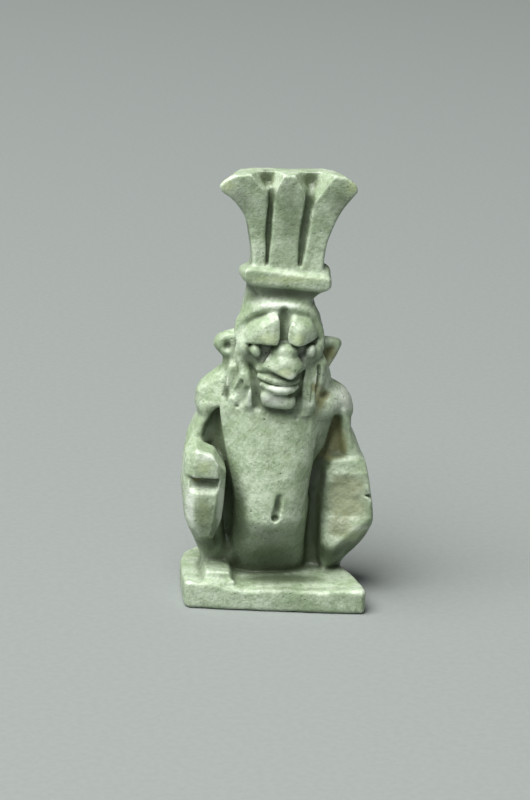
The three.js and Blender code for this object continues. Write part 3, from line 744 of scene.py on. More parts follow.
def make_features(clay):
    clay.add(ball((-3.5, -2.1, 22.9), (0.5, 0.75, 0.7)), 0.3)
    clay.add(ball((2.8, -1.85, 22.8), (0.42, 0.6, 0.6)), 0.3)
    clay.add(ball((-2.62, -2.85, 22.85), (0.46, 0.62, 0.58), -12), 0.22)
    clay.add(ball((2.14, -2.6, 22.75), (0.44, 0.6, 0.56), 10), 0.22)
    cheeks = [
        [(-3.4, -2.0, 22.0, 0.3), (-2.7, -2.3, 21.85, 0.32), (-2.1, -2.45, 21.75, 0.24)],
        [(2.7, -1.85, 22.0, 0.26), (2.1, -2.2, 21.85, 0.28), (1.6, -2.35, 21.8, 0.22)],
    ]
    for cheek in cheeks:
        clay.add(rod(*cheek), 0.7)
    nose = [
        (-0.8, -3.1, 23.15), (0.4, -3.1, 23.15), (-0.85, -3.75, 22.7), (0.4, -3.75, 22.7),
        (-1.5, -3.0, 22.6), (1.0, -3.0, 22.65), (-1.25, -3.75, 22.15), (0.8, -3.75, 22.2),
        (-1.95, -3.1, 21.95), (1.45, -3.1, 22.0), (-2.0, -3.45, 21.55), (-1.35, -4.05, 21.46),
        (-0.76, -4.25, 21.76), (-0.27, -4.36, 22.04), (0.23, -4.32, 21.86), (0.82, -4.2, 21.57),
        (1.45, -3.6, 21.48), (-1.08, -4.1, 21.15), (-0.3, -4.44, 20.84), (0.14, -4.46, 20.62),
        (0.57, -4.36, 20.64), (0.98, -3.95, 21.0), (-1.35, -2.8, 20.9), (1.15, -2.8, 20.8),
        (0.3, -2.8, 20.45), (-0.2, -2.4, 22.9),
    ]
    clay.add(ball((-0.1, -3.0, 22.85), (1.15, 0.8, 0.62)), 0.4)
    clay.add(facets(nose, 0.16), 0.3)
    right_wing = rod((-2.4, -2.75, 21.15, 0.26), (-1.95, -3.05, 21.25, 0.32), (-1.4, -3.2, 21.3, 0.3))
    clay.add(right_wing, 0.4)
    left_wing = rod((1.2, -3.05, 21.3, 0.3), (1.55, -2.8, 21.25, 0.24))
    clay.add(left_wing, 0.4)
    clay.add(ball((-0.5, -3.1, 20.45), (1.5, 0.5, 0.5), 4), 0.3)
    upper_lip = rod(
        (-2.3, -2.95, 20.58, 0.22), (-1.7, -3.4, 20.46, 0.28), (-0.9, -3.64, 20.3, 0.3),
        (-0.1, -3.7, 20.2, 0.28), (0.55, -3.5, 20.18, 0.25), (1.05, -3.1, 20.22, 0.18),
    )
    lower_lip = rod(
        (-1.95, -3.15, 19.84, 0.26), (-1.4, -3.5, 19.62, 0.33), (-0.7, -3.68, 19.48, 0.37),
        (0.0, -3.68, 19.46, 0.37), (0.55, -3.5, 19.54, 0.32), (0.98, -3.15, 19.7, 0.2),
    )
    clay.add(upper_lip, 0.14)
    clay.add(lower_lip, 0.14)
    mouth = rod((-1.9, -3.6, 20.14, 0.05), (-0.9, -4.05, 19.94, 0.08), (0.5, -4.0, 19.86, 0.06))
    clay.cut(mouth, 0.14)
    chin = [
        (-2.3, -3.0, 19.4), (-2.4, -3.15, 18.7), (-2.3, -3.1, 17.85), (-1.85, -3.7, 19.1),
        (-1.85, -3.8, 18.4), (-1.75, -3.6, 17.65), (-0.87, -3.65, 17.5), (0.35, -3.75, 17.46),
        (0.75, -3.77, 18.1), (0.55, -3.65, 19.1), (1.05, -3.2, 17.95), (1.1, -3.05, 19.3),
        (-1.9, -1.8, 17.7), (0.8, -1.8, 17.6), (-1.8, -1.8, 19.4), (0.8, -1.8, 19.4),
    ]
    clay.add(facets(chin, 0.55), 0.25)
    under_lip = rod(
        (-2.15, -3.45, 19.72, 0.1), (-1.5, -3.87, 19.22, 0.16), (-0.6, -4.07, 18.92, 0.2),
        (0.2, -4.05, 18.88, 0.2), (0.85, -3.75, 19.2, 0.14),
    )
    clay.cut(under_lip, 0.2)
    clay.add(ball((-1.55, -3.15, 18.85), (0.45, 0.46, 0.45)), 0.5)
    clay.add(ball((0.38, -3.15, 18.3), (0.46, 0.46, 0.42)), 0.5)
    clay.cut(ball((-0.6, -4.05, 18.6), (0.6, 0.4, 0.4)), 0.4)


def make_locks(clay):
    right_beard = [
        (-4.0, -1.6, 23.0), (-3.8, -2.0, 22.6), (-3.3, -2.4, 21.6), (-2.65, -2.8, 20.0),
        (-2.35, -2.95, 18.6), (-2.4, -2.95, 17.5), (-3.1, -2.75, 17.2), (-4.1, -2.25, 17.5),
        (-4.9, -1.6, 18.2), (-5.2, -0.95, 19.1), (-5.1, -0.6, 20.3), (-4.3, -1.1, 22.6),
        (-3.0, 0.0, 22.9), (-4.8, 0.5, 21.5), (-5.0, 0.5, 18.8), (-2.6, 0.0, 17.5),
    ]
    clay.add(facets(right_beard, 0.5), 0.3)
    left_beard = [
        (3.3, -1.5, 22.6), (2.6, -2.1, 21.8), (1.75, -2.65, 21.3), (1.5, -2.88, 20.0),
        (1.35, -2.95, 18.4), (1.4, -2.9, 16.8), (2.2, -2.8, 16.8), (2.6, -2.65, 18.4),
        (3.3, -2.15, 19.1), (3.6, -1.8, 20.4), (3.8, -1.3, 21.4), (3.0, 0.0, 22.6), (3.8, 0.0, 20.5),
        (1.8, 0.0, 17.0), (3.4, 0.0, 18.0),
    ]
    clay.add(facets(left_beard, 0.18), 0.25)
    crests = [
        [
            (-3.9, -1.8, 22.4, 0.3), (-3.8, -2.0, 21.7, 0.34), (-3.62, -2.15, 21.1, 0.36),
            (-3.35, -2.35, 20.3, 0.38),
        ],
        [
            (-3.35, -2.35, 20.3, 0.38), (-3.1, -2.5, 19.6, 0.4), (-3.0, -2.55, 18.9, 0.42),
            (-2.98, -2.55, 18.0, 0.4),
        ],
        [
            (-3.45, -2.2, 20.3, 0.28), (-3.8, -2.1, 19.7, 0.3), (-4.12, -1.92, 19.05, 0.3),
            (-4.4, -1.72, 18.4, 0.28),
        ],
        [(-4.45, -1.3, 20.8, 0.3), (-4.72, -1.2, 20.0, 0.32), (-4.85, -1.2, 19.3, 0.32)],
        [
            (2.95, -1.95, 21.1, 0.3), (2.7, -2.2, 20.3, 0.28), (2.28, -2.52, 19.2, 0.26),
            (2.18, -2.6, 17.9, 0.24),
        ],
        [(3.3, -1.6, 21.3, 0.32), (3.15, -1.8, 20.6, 0.28), (3.15, -1.9, 19.8, 0.24)],
    ]
    for crest in crests:
        clay.add(rod(*crest), 0.5)
    grooves = [
        [
            (-2.95, -2.75, 21.9, 0.2), (-2.76, -2.8, 20.8, 0.28), (-2.6, -2.82, 19.9, 0.3),
            (-2.48, -2.8, 19.0, 0.34), (-2.4, -2.75, 17.8, 0.36),
        ],
        [
            (1.72, -2.95, 21.2, 0.16), (1.5, -3.0, 20.5, 0.2), (1.4, -2.98, 19.6, 0.26),
            (1.36, -2.95, 18.6, 0.28), (1.24, -2.9, 17.4, 0.28), (1.1, -2.85, 16.8, 0.2),
        ],
        [
            (-3.2, -2.8, 19.4, 0.16), (-3.5, -2.65, 18.65, 0.28), (-3.8, -2.5, 18.05, 0.28),
            (-4.03, -2.35, 17.65, 0.18),
        ],
        [(-3.65, -2.55, 20.0, 0.14), (-4.0, -2.4, 19.3, 0.25), (-4.45, -2.1, 18.65, 0.25)],
        [
            (-4.2, -1.95, 21.0, 0.16), (-4.35, -1.95, 19.9, 0.22), (-4.6, -1.85, 19.0, 0.24),
            (-4.75, -1.8, 18.5, 0.18),
        ],
        [(-5.05, -1.2, 20.2, 0.24), (-5.18, -1.2, 19.3, 0.32), (-5.1, -1.5, 18.4, 0.3)],
    ]
    for groove in grooves:
        clay.cut(rod(*groove), 0.24)
    partings = [
        [(1.95, -2.85, 21.1, 0.1), (1.98, -2.98, 19.6, 0.14), (1.92, -3.0, 17.4, 0.14)],
        [(2.4, -2.55, 20.9, 0.12), (2.47, -2.7, 19.7, 0.2), (2.32, -2.85, 18.2, 0.15)],
        [(2.95, -2.1, 21.2, 0.14), (2.92, -2.25, 20.2, 0.2), (2.8, -2.45, 19.0, 0.18)],
    ]
    for parting in partings:
        clay.cut(rod(*parting), 0.14)
    clay.cut(ball((-4.01, -2.35, 17.62), (0.12, 0.3, 0.12)), 0.06)
    before_ear = rod((-4.4, -1.2, 23.7, 0.2), (-4.35, -1.35, 23.0, 0.3), (-4.45, -1.25, 22.3, 0.2))
    clay.cut(before_ear, 0.4)


def make_ears(clay):
    right = [
        (-4.2, 0.1, 23.9), (-5.42, 0.1, 23.72), (-5.86, 0.1, 23.4), (-6.14, 0.1, 22.8),
        (-6.1, 0.1, 22.27), (-5.8, 0.1, 21.9), (-5.4, 0.2, 21.4), (-3.9, 0.3, 20.8),
        (-5.0, -0.55, 23.55), (-5.6, -0.5, 23.2), (-5.8, -0.5, 22.6), (-5.4, -0.55, 21.9),
        (-3.8, -0.9, 23.6), (-4.0, -1.0, 21.6), (-3.8, 1.1, 23.8), (-5.7, 1.0, 22.8), (-4.0, 1.1, 21.4),
    ]
    clay.add(facets(right, 0.3), 0.2)
    clay.cut(ball((-4.9, -0.95, 22.6), (0.48, 0.7, 0.6), 15), 0.25)
    left = [
        (3.3, 0.1, 23.3), (4.65, 0.1, 23.28), (5.1, 0.1, 23.06), (5.27, 0.1, 22.67), (5.08, 0.1, 22.07),
        (4.6, 0.1, 21.16), (4.05, 0.1, 20.4), (3.5, 0.1, 20.0), (3.4, -0.5, 23.1), (4.7, -0.45, 22.95),
        (4.95, -0.4, 22.5), (4.0, -0.5, 20.6), (3.3, 1.2, 23.0), (4.9, 1.0, 22.8), (4.2, 1.1, 20.6),
    ]
    clay.add(facets(left, 0.2), 0.15)
    hollow = [
        (3.5, -1.2, 22.85), (4.7, -1.2, 22.85), (4.8, -1.2, 22.3), (4.3, -1.2, 21.2), (3.5, -1.2, 20.7),
        (3.6, -0.05, 22.4), (4.3, -0.12, 22.3), (4.05, -0.12, 21.5), (3.6, 0.1, 21.3),
    ]
    clay.cut(facets(hollow, 0.25), 0.3)


def make_crown(clay):
    under_slab = [
        (-1.95, -2.0, 26.75), (1.65, -2.0, 26.5), (-2.5, -2.05, 27.2), (-3.0, -2.2, 27.9),
        (3.1, -2.25, 27.65), (-3.4, -2.35, 28.6), (3.45, -2.35, 28.3), (-2.2, 2.0, 26.9),
        (2.0, 2.0, 26.7), (-3.3, 2.2, 28.4), (3.3, 2.2, 28.2), (0.0, -2.35, 28.6),
    ]
    clay.add(facets(under_slab, 0.5), 0.5)

    slab_outline = [
        (-3.55, -2.62), (3.4, -2.62), (3.85, -2.1), (3.8, 1.2), (3.2, 2.1), (-2.4, 2.1), (-3.7, 1.3),
        (-4.08, 0.3), (-3.95, -1.8),
    ]

    def slab_bottom(x, y):
        ends = 0.35 * np.maximum(-x - 2.9, 0.0) + 0.35 * np.maximum(x - 2.9, 0.0)
        return 28.08 - 0.09 * x + ends - 0.06 * (y + 2.6)

    def slab_top(x, y):
        return 29.62 - 0.12 * x - 0.12 * (y + 2.6) - 0.25 * np.maximum(-x - 3.0, 0.0)

    clay.add(ground_plate(slab_outline, slab_bottom, slab_top, 0.4), 0.35)
    clay.add(ball((3.3, -0.4, 29.2), (0.5, 1.5, 0.55)), 0.4)
    foot = 29.4

    def rise(z):
        return np.clip((z - foot) / (HEIGHT - foot), 0.0, 1.0)

    def front(z):
        return -1.95 - 0.05 * rise(z) + 0.25 * np.sin(np.pi * rise(z))

    def back(z):
        return 2.1 - 0.6 * rise(z)

    outline = [
        (-3.0, 29.2), (3.1, 28.8), (3.05, 30.0), (3.3, 31.8), (3.91, 33.55), (4.54, 34.86),
        (5.35, 35.9), (5.85, 36.5), (5.45, 37.25), (4.4, HEIGHT), (0.4, HEIGHT - 0.05),
        (-4.5, HEIGHT + 0.05), (-5.5, 37.45), (-6.05, 36.85), (-5.85, 36.3), (-4.85, 35.6),
        (-3.98, 34.5), (-3.52, 33.46), (-3.22, 32.16), (-2.95, 30.4),
    ]
    plumes = front_plate(outline, front, back, 0.3)

    def narrowed(x, y, z):
        deep = np.maximum(y + 1.6, 0.0)
        upper = np.clip((z - 33.0) / 4.0, 0.0, 1.0)
        share = 1.0 - 0.055 * deep * upper
        fall = 0.04 * deep * upper
        return plumes.distance(x / share, y, z + fall)

    clay.add(Shape(plumes.low, plumes.high, narrowed), 0.45)
    notches = [
        [
            (-3.5, -2.0, 38.0), (-1.8, -2.0, 35.9), (-1.4, -2.0, 35.9), (-0.65, -2.0, 37.7),
            (-2.75, -0.4, 37.9), (-2.1, -0.3, 37.0), (-1.6, -0.3, 37.0), (-1.1, -0.4, 37.8),
        ],
        [
            (0.4, -2.0, 37.8), (1.5, -2.0, 35.6), (1.95, -2.0, 35.0), (3.55, -2.0, 37.6),
            (0.95, -0.4, 37.75), (1.55, -0.3, 36.9), (2.05, -0.3, 36.9), (2.75, -0.4, 37.7),
        ],
    ]
    for notch in notches:
        middle = np.mean([point[0] for point in notch])
        raised = [(x + 0.5 * (x - middle), y, z + 1.2) for x, y, z in notch if z > 37.4]
        forward = [(x + 0.1 * (x - middle), -2.8, z) for x, y, z in notch + raised if y < -1.0]
        clay.cut(facets(notch + raised + forward, 0.06), 0.1)
    grooves = [
        [
            (-1.58, -1.8, 36.4, 0.3), (-1.58, -1.83, 35.6, 0.28), (-1.68, -1.9, 34.0, 0.28),
            (-1.72, -1.95, 32.2, 0.28), (-1.78, -2.05, 30.2, 0.16),
        ],
        [
            (1.68, -1.8, 36.2, 0.36), (1.58, -1.83, 35.0, 0.4), (1.36, -1.9, 33.2, 0.4),
            (1.18, -1.97, 31.4, 0.3), (1.05, -2.05, 30.1, 0.16),
        ],
    ]
    for groove in grooves:
        for depth in (0.0, 0.3, 0.6):
            deeper = [(x, y + depth, z, radius * (1.0 - 0.4 * depth)) for x, y, z, radius in groove]
            clay.cut(rod(*deeper), 0.24)


def make_marks(clay):
    """The navel, two larger pits and the fold under the belly."""
    navel = rod((-0.24, -4.35, 10.0, 0.26), (-0.4, -4.38, 9.1, 0.34), (-0.6, -4.4, 8.3, 0.36))
    clay.cut(navel, 0.16)
    clay.cut(ball((-0.6, -4.4, 8.1), (0.36, 0.5, 0.34)), 0.12)
    clay.cut(ball((0.43, -3.95, 13.7), (0.45, 0.25, 0.45)), 0.2)
    clay.cut(ball((3.69, -1.9, 18.53), (0.42, 0.5, 0.42)), 0.25)
    fold = rod((-1.0, -4.7, 7.35, 0.1), (0.4, -4.75, 7.6, 0.24), (1.6, -4.4, 7.2, 0.24))
    clay.cut(fold, 0.35)


clay = Clay([-9.6, -7.6, -0.8], [9.4, 7.0, 39.0])
make_plinth(clay)
make_torso(clay)
make_right_arm(clay)
make_thigh(clay)
make_knee_column(clay)
make_left_arm(clay)
make_left_leg(clay)
make_armpit(clay)
make_left_knee(clay)
make_head(clay)
make_brows(clay)
make_features(clay)
make_locks(clay)
make_ears(clay)
make_crown(clay)
make_marks(clay)
clay.roughen(mottle(2.2, 1), 0.06)
clay.roughen(mottle(0.8, 2), 0.035)
clay.roughen(mottle(0.35, 3), 0.016)


# The skin: one mesh, with what the colours need to know kept at its points


def blurred(volume, reach):
    """The volume averaged over about the given reach in millimetres."""
    steps = max(1, int(round(reach / STEP)))
    for axis in (0, 1, 2) * 2:
        padding = [(0, 0)] * 3
        padding[axis] = (steps + 1, steps)
        sums = np.cumsum(np.pad(volume, padding, mode="edge"), axis=axis, dtype=np.float32)
        size = volume.shape[axis]
        ahead = np.take(sums, range(2 * steps + 1, 2 * steps + 1 + size), axis=axis)
        behind = np.take(sums, range(size), axis=axis)
        volume = (ahead - behind) / (2 * steps + 1)
    return volume


def sheltered(clay, solid, places):
    """How much of the sky is hidden from each place by the clay, from 0 to 1."""
    soft = blurred(solid, 0.2)
    hidden = np.zeros(len(places))
    total = 0.0
    for lean in (math.radians(20), math.radians(60)):
        level = math.sin(lean)
        rise = math.cos(lean)
        for turn in range(0, 360, 72):
            around = math.radians(turn)
            way = np.array([level * math.cos(around), level * math.sin(around), rise])
            blocked = np.zeros(len(places))
            for reach in (0.6, 1.2, 2.2, 3.6):
                blocked = np.maximum(blocked, clay.sample(soft, places + way * reach))
            hidden += rise * blocked
            total += rise
    return hidden / total


def nearness(places, spots):
    """How near each place is to any of the spots, each a centre and its radii."""
    nearest = np.zeros(len(places))
    for centre, radii in spots:
        away = ((places - np.array(centre)) / np.array(radii)) ** 2
        nearest = np.maximum(nearest, np.exp(-away.sum(axis=1)))
    return nearest


# Where each look is found: a centre and its radii
SPOTS = {
    "soil": [
        ((4.5, -0.4, 12.7), (1.5, 1.4, 0.7)), ((3.7, -1.8, 18.5), (0.6, 0.8, 0.6)),
        ((2.65, -2.5, 19.4), (0.4, 0.6, 0.7)), ((-7.4, -3.8, 11.5), (0.5, 0.7, 0.4)),
        ((4.2, -0.1, 21.7), (0.8, 0.9, 1.2)), ((3.0, -2.0, 18.3), (0.9, 0.9, 1.8)),
        ((4.9, 0.2, 14.4), (1.3, 2.0, 2.2)), ((5.5, -0.7, 13.5), (0.55, 1.2, 1.3)),
    ],
    "glaze": [
        ((-6.8, -4.4, 12.8), (1.0, 0.5, 1.0)), ((-6.8, -4.5, 8.6), (0.9, 0.5, 2.2)),
        ((-0.2, -4.3, 21.2), (1.1, 0.5, 0.6)), ((-1.6, -4.1, 24.0), (1.5, 0.9, 1.0)),
        ((1.1, -4.1, 24.0), (1.2, 0.9, 0.9)), ((6.6, -1.8, 5.6), (1.8, 1.8, 1.5)),
        ((-1.8, -0.6, 37.2), (0.9, 0.9, 0.8)), ((1.8, -0.6, 37.1), (0.9, 0.9, 0.8)),
        ((-5.3, -1.8, 36.9), (0.9, 0.9, 0.8)), ((5.2, -1.8, 36.9), (0.9, 0.9, 0.8)),
        ((0.0, -2.6, 29.0), (4.0, 0.6, 0.5)), ((0.43, -3.9, 13.68), (0.6, 0.5, 0.6)),
    ],
    "broken": [
        ((5.7, -1.7, 10.0), (2.3, 1.0, 1.8)), ((5.7, -1.7, 8.6), (2.6, 1.0, 2.2)),
        ((5.2, -2.1, 6.8), (1.6, 1.0, 1.6)),
    ],
    # Pale patches: real wear on the shin's bevels, the hand, the shoulder, the hair band and the broken
    # rim; painted light on the eye sockets, under the nose, on the lips and the chin.
    "bleached_and_painted_light": [
        ((-7.95, -3.8, 9.0), (0.6, 0.9, 2.6)), ((-5.3, -3.6, 9.0), (0.5, 0.9, 2.4)),
        ((5.6, -0.5, 17.9), (1.7, 1.8, 1.6)), ((-0.6, -2.6, 26.7), (2.3, 0.7, 0.35)),
        ((-6.6, -3.9, 13.6), (1.2, 0.8, 0.4)), ((0.1, -4.3, 21.0), (0.9, 0.5, 0.55)),
        ((-1.85, -2.8, 22.5), (0.8, 1.0, 0.8)), ((1.45, -2.7, 22.5), (0.7, 1.0, 0.7)),
        ((-1.0, -3.6, 18.7), (1.5, 0.8, 0.8)), ((-0.6, -3.9, 19.7), (1.5, 0.5, 0.4)),
        ((7.0, -1.9, 6.2), (1.4, 0.8, 0.5)),
    ],
    "pitted": [
        ((5.2, -0.8, 18.0), (1.5, 1.5, 1.4)), ((3.2, -1.8, 20.6), (0.9, 1.0, 1.6)),
        ((-4.3, -1.3, 23.0), (0.5, 0.9, 1.2)), ((-4.6, -1.6, 19.0), (1.0, 1.0, 1.2)),
    ],
    # Dark patches: real stains in the shoulder's pit and on the knee's sill; painted shade at the
    # bottoms of the crown's notches, in the furrow between the brows, in the valleys beside the belly,
    # under the legs, at the ankle, in the armpit, beside the beard, in the ear's hollow, in the navel
    # and on the plinth under the belly.
    "stained_and_painted_shade": [
        ((-1.9, -0.5, 37.3), (0.85, 1.2, 0.9)), ((-1.65, -1.5, 36.0), (0.5, 0.9, 0.8)),
        ((1.85, -0.5, 37.15), (0.9, 1.2, 0.9)), ((1.85, -1.5, 35.7), (0.5, 0.9, 0.9)),
        ((-0.25, -2.5, 25.7), (0.55, 1.0, 0.8)), ((-0.35, -2.9, 24.4), (0.4, 0.9, 1.3)),
        ((3.2, -0.8, 7.0), (1.3, 2.2, 4.8)), ((-4.5, -1.2, 2.9), (0.7, 1.2, 0.6)),
        ((-3.65, -2.9, 7.4), (1.2, 1.9, 3.8)), ((-0.4, -4.1, 9.3), (0.3, 0.5, 0.9)),
        ((-0.6, -4.0, 8.1), (0.35, 0.6, 0.3)), ((-4.9, -0.6, 22.5), (0.4, 0.7, 0.4)),
        ((-4.9, -1.3, 18.6), (0.4, 0.8, 0.8)), ((-6.0, -2.0, 5.0), (1.3, 1.4, 1.1)),
        ((4.4, -1.5, 4.0), (1.4, 1.6, 1.3)), ((3.69, -1.7, 18.5), (0.3, 0.5, 0.3)),
        ((4.95, -0.6, 12.75), (1.2, 0.8, 0.35)), ((-5.6, -0.8, 15.4), (0.5, 1.0, 1.9)),
        ((0.0, -3.2, 2.1), (3.8, 1.3, 0.6)),
    ],
    # Dull patches: partly dark glaze on the shin's front and in the pit, partly painted shade under the
    # crown's slab, on the plume fronts, on the belly's left side and bottom, on the plinth by the belly
    # and its front lip, and under the broken leg.
    "dulled_and_painted_shade": [
        ((-6.8, -4.4, 8.5), (0.95, 0.7, 2.1)), ((0.6, -3.4, 2.2), (4.6, 1.6, 0.5)),
        ((-0.5, -5.6, 2.3), (8.0, 0.8, 0.5)), ((4.4, -2.0, 35.3), (1.4, 0.7, 1.6)),
        ((0.0, -2.1, 34.0), (1.2, 0.5, 3.5)), ((0.43, -3.9, 13.68), (0.5, 0.5, 0.5)),
        ((0.0, -2.2, 27.6), (2.8, 0.9, 0.6)), ((-3.9, -2.4, 8.6), (0.8, 1.7, 4.0)),
        ((-4.3, -2.0, 35.3), (1.4, 0.7, 1.6)), ((-0.8, -2.6, 3.6), (3.6, 1.6, 1.6)),
        ((5.2, -2.2, 6.6), (1.5, 0.8, 1.1)), ((5.6, -1.8, 4.6), (1.6, 1.2, 1.2)),
    ],
}


def build_skin(clay, shift):
    points, quads = clay.skin()
    mesh = bpy.data.meshes.new("bes_skin")
    mesh.vertices.add(len(points))
    mesh.vertices.foreach_set("co", ((points + shift) * MM).astype(np.float32).ravel())
    mesh.loops.add(quads.size)
    mesh.loops.foreach_set("vertex_index", quads.ravel().astype(np.int32))
    mesh.polygons.add(len(quads))
    mesh.polygons.foreach_set("loop_start", np.arange(0, quads.size, 4, dtype=np.int32))
    mesh.update(calc_edges=True)
    mesh.validate()
    figure = bpy.data.objects.new("bes_skin", mesh)
    bpy.context.scene.collection.objects.link(figure)
    triangles = 2 * len(quads)
    if triangles > MOST_TRIANGLES:
        thinner = figure.modifiers.new("thinner", "DECIMATE")
        thinner.ratio = MOST_TRIANGLES / triangles
        shown = figure.evaluated_get(bpy.context.evaluated_depsgraph_get())
        mesh = bpy.data.meshes.new_from_object(shown)
        figure.modifiers.clear()
        figure.data = mesh
    mesh.polygons.foreach_set("use_smooth", np.ones(len(mesh.polygons), dtype=bool))
    return figure


def build_figure(clay):
    """The skin, with what its colours need to know kept at its points."""
    shift = np.array([*AXIS_PLACE, 0.0])
    figure = build_skin(clay, shift)
    mesh = figure.data
    solid = np.clip(0.5 - clay.field / STEP, 0.0, 1.0)
    places = np.empty(len(mesh.vertices) * 3, dtype=np.float32)
    mesh.vertices.foreach_get("co", places)
    places = places.reshape(-1, 3) / MM - shift
    marks = {
        "hollow": clay.sample(blurred(solid, 0.25), places),
        "depth": clay.sample(blurred(solid, 0.9), places),
        "bay": clay.sample(blurred(solid, 2.0), places),
        "shelter": sheltered(clay, solid, places),
    }
    for name, spots in SPOTS.items():
        marks[name] = nearness(places, spots)
    for name, values in marks.items():
        mark = mesh.attributes.new(name, "FLOAT", "POINT")
        mark.data.foreach_set("value", values.astype(np.float32))
    return figure


class Nodes:
    """Adds shader nodes and joins them up."""

    def __init__(self, material):
        material.use_nodes = True
        self.tree = material.node_tree
        self.shader = self.tree.nodes["Principled BSDF"]

    def put(self, socket, value):
        if isinstance(value, bpy.types.NodeSocket):
            self.tree.links.new(value, socket)
        else:
            socket.default_value = value

    def mark(self, name):
        node = self.tree.nodes.new("ShaderNodeAttribute")
        node.attribute_name = name
        return node.outputs["Fac"]

    def place(self):
        return self.tree.nodes.new("ShaderNodeTexCoord").outputs["Object"]

    def noise(self, size_mm, detail=3.0, rough=0.6):
        node = self.tree.nodes.new("ShaderNodeTexNoise")
        self.put(node.inputs["Vector"], self.place())
        self.put(node.inputs["Scale"], 1.0 / (size_mm * MM))
        self.put(node.inputs["Detail"], detail)
        self.put(node.inputs["Roughness"], rough)
        return node.outputs["Fac"]

    def cells(self, size_mm):
        node = self.tree.nodes.new("ShaderNodeTexVoronoi")
        self.put(node.inputs["Vector"], self.place())
        self.put(node.inputs["Scale"], 1.0 / (size_mm * MM))
        return node.outputs["Distance"]

    def math(self, kind, first, second, clamp=False):
        node = self.tree.nodes.new("ShaderNodeMath")
        node.operation = kind
        node.use_clamp = clamp
        self.put(node.inputs[0], first)
        self.put(node.inputs[1], second)
        return node.outputs[0]

    def between(self, value, low, high, bottom=0.0, top=1.0):
        node = self.tree.nodes.new("ShaderNodeMapRange")
        node.interpolation_type = "SMOOTHSTEP"
        self.put(node.inputs["Value"], value)
        self.put(node.inputs["From Min"], low)
        self.put(node.inputs["From Max"], high)
        self.put(node.inputs["To Min"], bottom)
        self.put(node.inputs["To Max"], top)
        return node.outputs["Result"]

    def blend(self, share, first, second):
        node = self.tree.nodes.new("ShaderNodeMix")
        node.data_type = "RGBA"
        self.put(node.inputs["Factor"], share)
        self.put(node.inputs["A"], first)
        self.put(node.inputs["B"], second)
        return node.outputs["Result"]

    def ragged(self, value, share, *noise):
        """The value with a share of noise added, so that its edge wanders."""
        return self.math("ADD", value, self.math("MULTIPLY", self.noise(*noise), share))

    def paint(self, tone, paint, where, most):
        """The tone painted over, at most by the given share."""
        return self.blend(self.math("MULTIPLY", where, most), tone, paint)


def colour(red, green, blue):
    """A colour given as it shows on screen, from 0 to 255."""
    values = [value / 255 for value in (red, green, blue)]
    linear = [v / 12.92 if v <= 0.04045 else ((v + 0.055) / 1.055) ** 2.4 for v in values]
    return (*linear, 1.0)


PALE = colour(186, 200, 176)
GREEN = colour(144, 162, 130)
# Pale of worn glaze, also used as painted light in shadowed places.
WORN_AND_LIT = colour(214, 221, 208)
OLIVE = colour(168, 182, 130)
DARK = colour(74, 85, 62)
SOIL_BROWN = colour(124, 125, 84)
STONE = colour(161, 167, 136)


def glazed_tone(nodes, cloud, hollow):
    """The mottled glaze: specked, worn pale on the edges, olive where it lies thick, and pale in
    patches, partly real wear and partly painted light where shadow falls.
    """
    tone = nodes.blend(nodes.between(cloud, 0.35, 0.65), PALE, GREEN)
    specks = nodes.between(nodes.noise(0.45, 3.0, 0.7), 0.5, 0.7)
    tone = nodes.paint(tone, DARK, specks, 0.33)
    grain = nodes.between(nodes.noise(0.2, 2.0), 0.4, 0.6)
    tone = nodes.paint(tone, DARK, grain, 0.12)
    wear = nodes.between(nodes.ragged(hollow, 0.24, 0.7, 4.0, 0.7), 0.52, 0.4)
    tone = nodes.paint(tone, WORN_AND_LIT, wear, 0.55)
    # Pale patches, partly real wear and partly painted light lifting shadowed places.
    bleached_and_painted_light = nodes.ragged(nodes.mark("bleached_and_painted_light"), 0.9, 0.6, 5.0, 0.75)
    bleached_and_painted_light = nodes.between(bleached_and_painted_light, 0.75, 1.3)
    tone = nodes.paint(tone, WORN_AND_LIT, bleached_and_painted_light, 0.75)
    glaze = nodes.between(nodes.ragged(nodes.mark("glaze"), 0.6, 0.9), 0.65, 1.4)
    tone = nodes.paint(tone, OLIVE, glaze, 0.6)
    return tone, nodes.math("MAXIMUM", bleached_and_painted_light, glaze)


def darkened_tone(nodes, tone, hollow, spared):
    """Painted shade: the tone darkened where the form hides it from the light, in recesses, grooves,
    creases and under overhangs, less so where it is pale or olive.
    """
    # Painted shade where the clay hides the sky: undersides and deep corners.
    sky_shade = nodes.ragged(nodes.mark("shelter"), 0.2, 1.3, 3.0)
    sky_shade = nodes.math("SUBTRACT", sky_shade, nodes.math("MULTIPLY", spared, 0.35))
    tone = nodes.paint(tone, DARK, nodes.between(sky_shade, 0.6, 1.05), 0.68)
    # Painted shade in broad bays between the parts.
    shade = nodes.between(nodes.ragged(nodes.mark("bay"), 0.1, 1.6, 3.0), 0.6, 0.84)
    tone = nodes.paint(tone, DARK, shade, 0.62)
    # Painted shade in deep recesses.
    deep_shade = nodes.between(nodes.ragged(nodes.mark("depth"), 0.16, 1.1, 4.0), 0.6, 0.84)
    tone = nodes.paint(tone, DARK, deep_shade, 0.6)
    # Painted shade in narrow creases.
    return nodes.paint(tone, DARK, nodes.between(hollow, 0.56, 0.72), 0.6)


def broken_tone(nodes, tone, hollow):
    """The bare body, with rusty flecks, where the leg is broken off."""
    stone = nodes.between(nodes.ragged(nodes.mark("broken"), 0.5, 1.4, 4.0), 0.6, 1.1)
    stone = nodes.math("MULTIPLY", stone, nodes.between(hollow, 0.4, 0.47))
    tone = nodes.paint(tone, STONE, stone, 0.85)
    flecks = nodes.between(nodes.noise(0.5, 5.0, 0.75), 0.45, 0.7)
    return nodes.paint(tone, SOIL_BROWN, nodes.math("MULTIPLY", stone, flecks), 0.5)


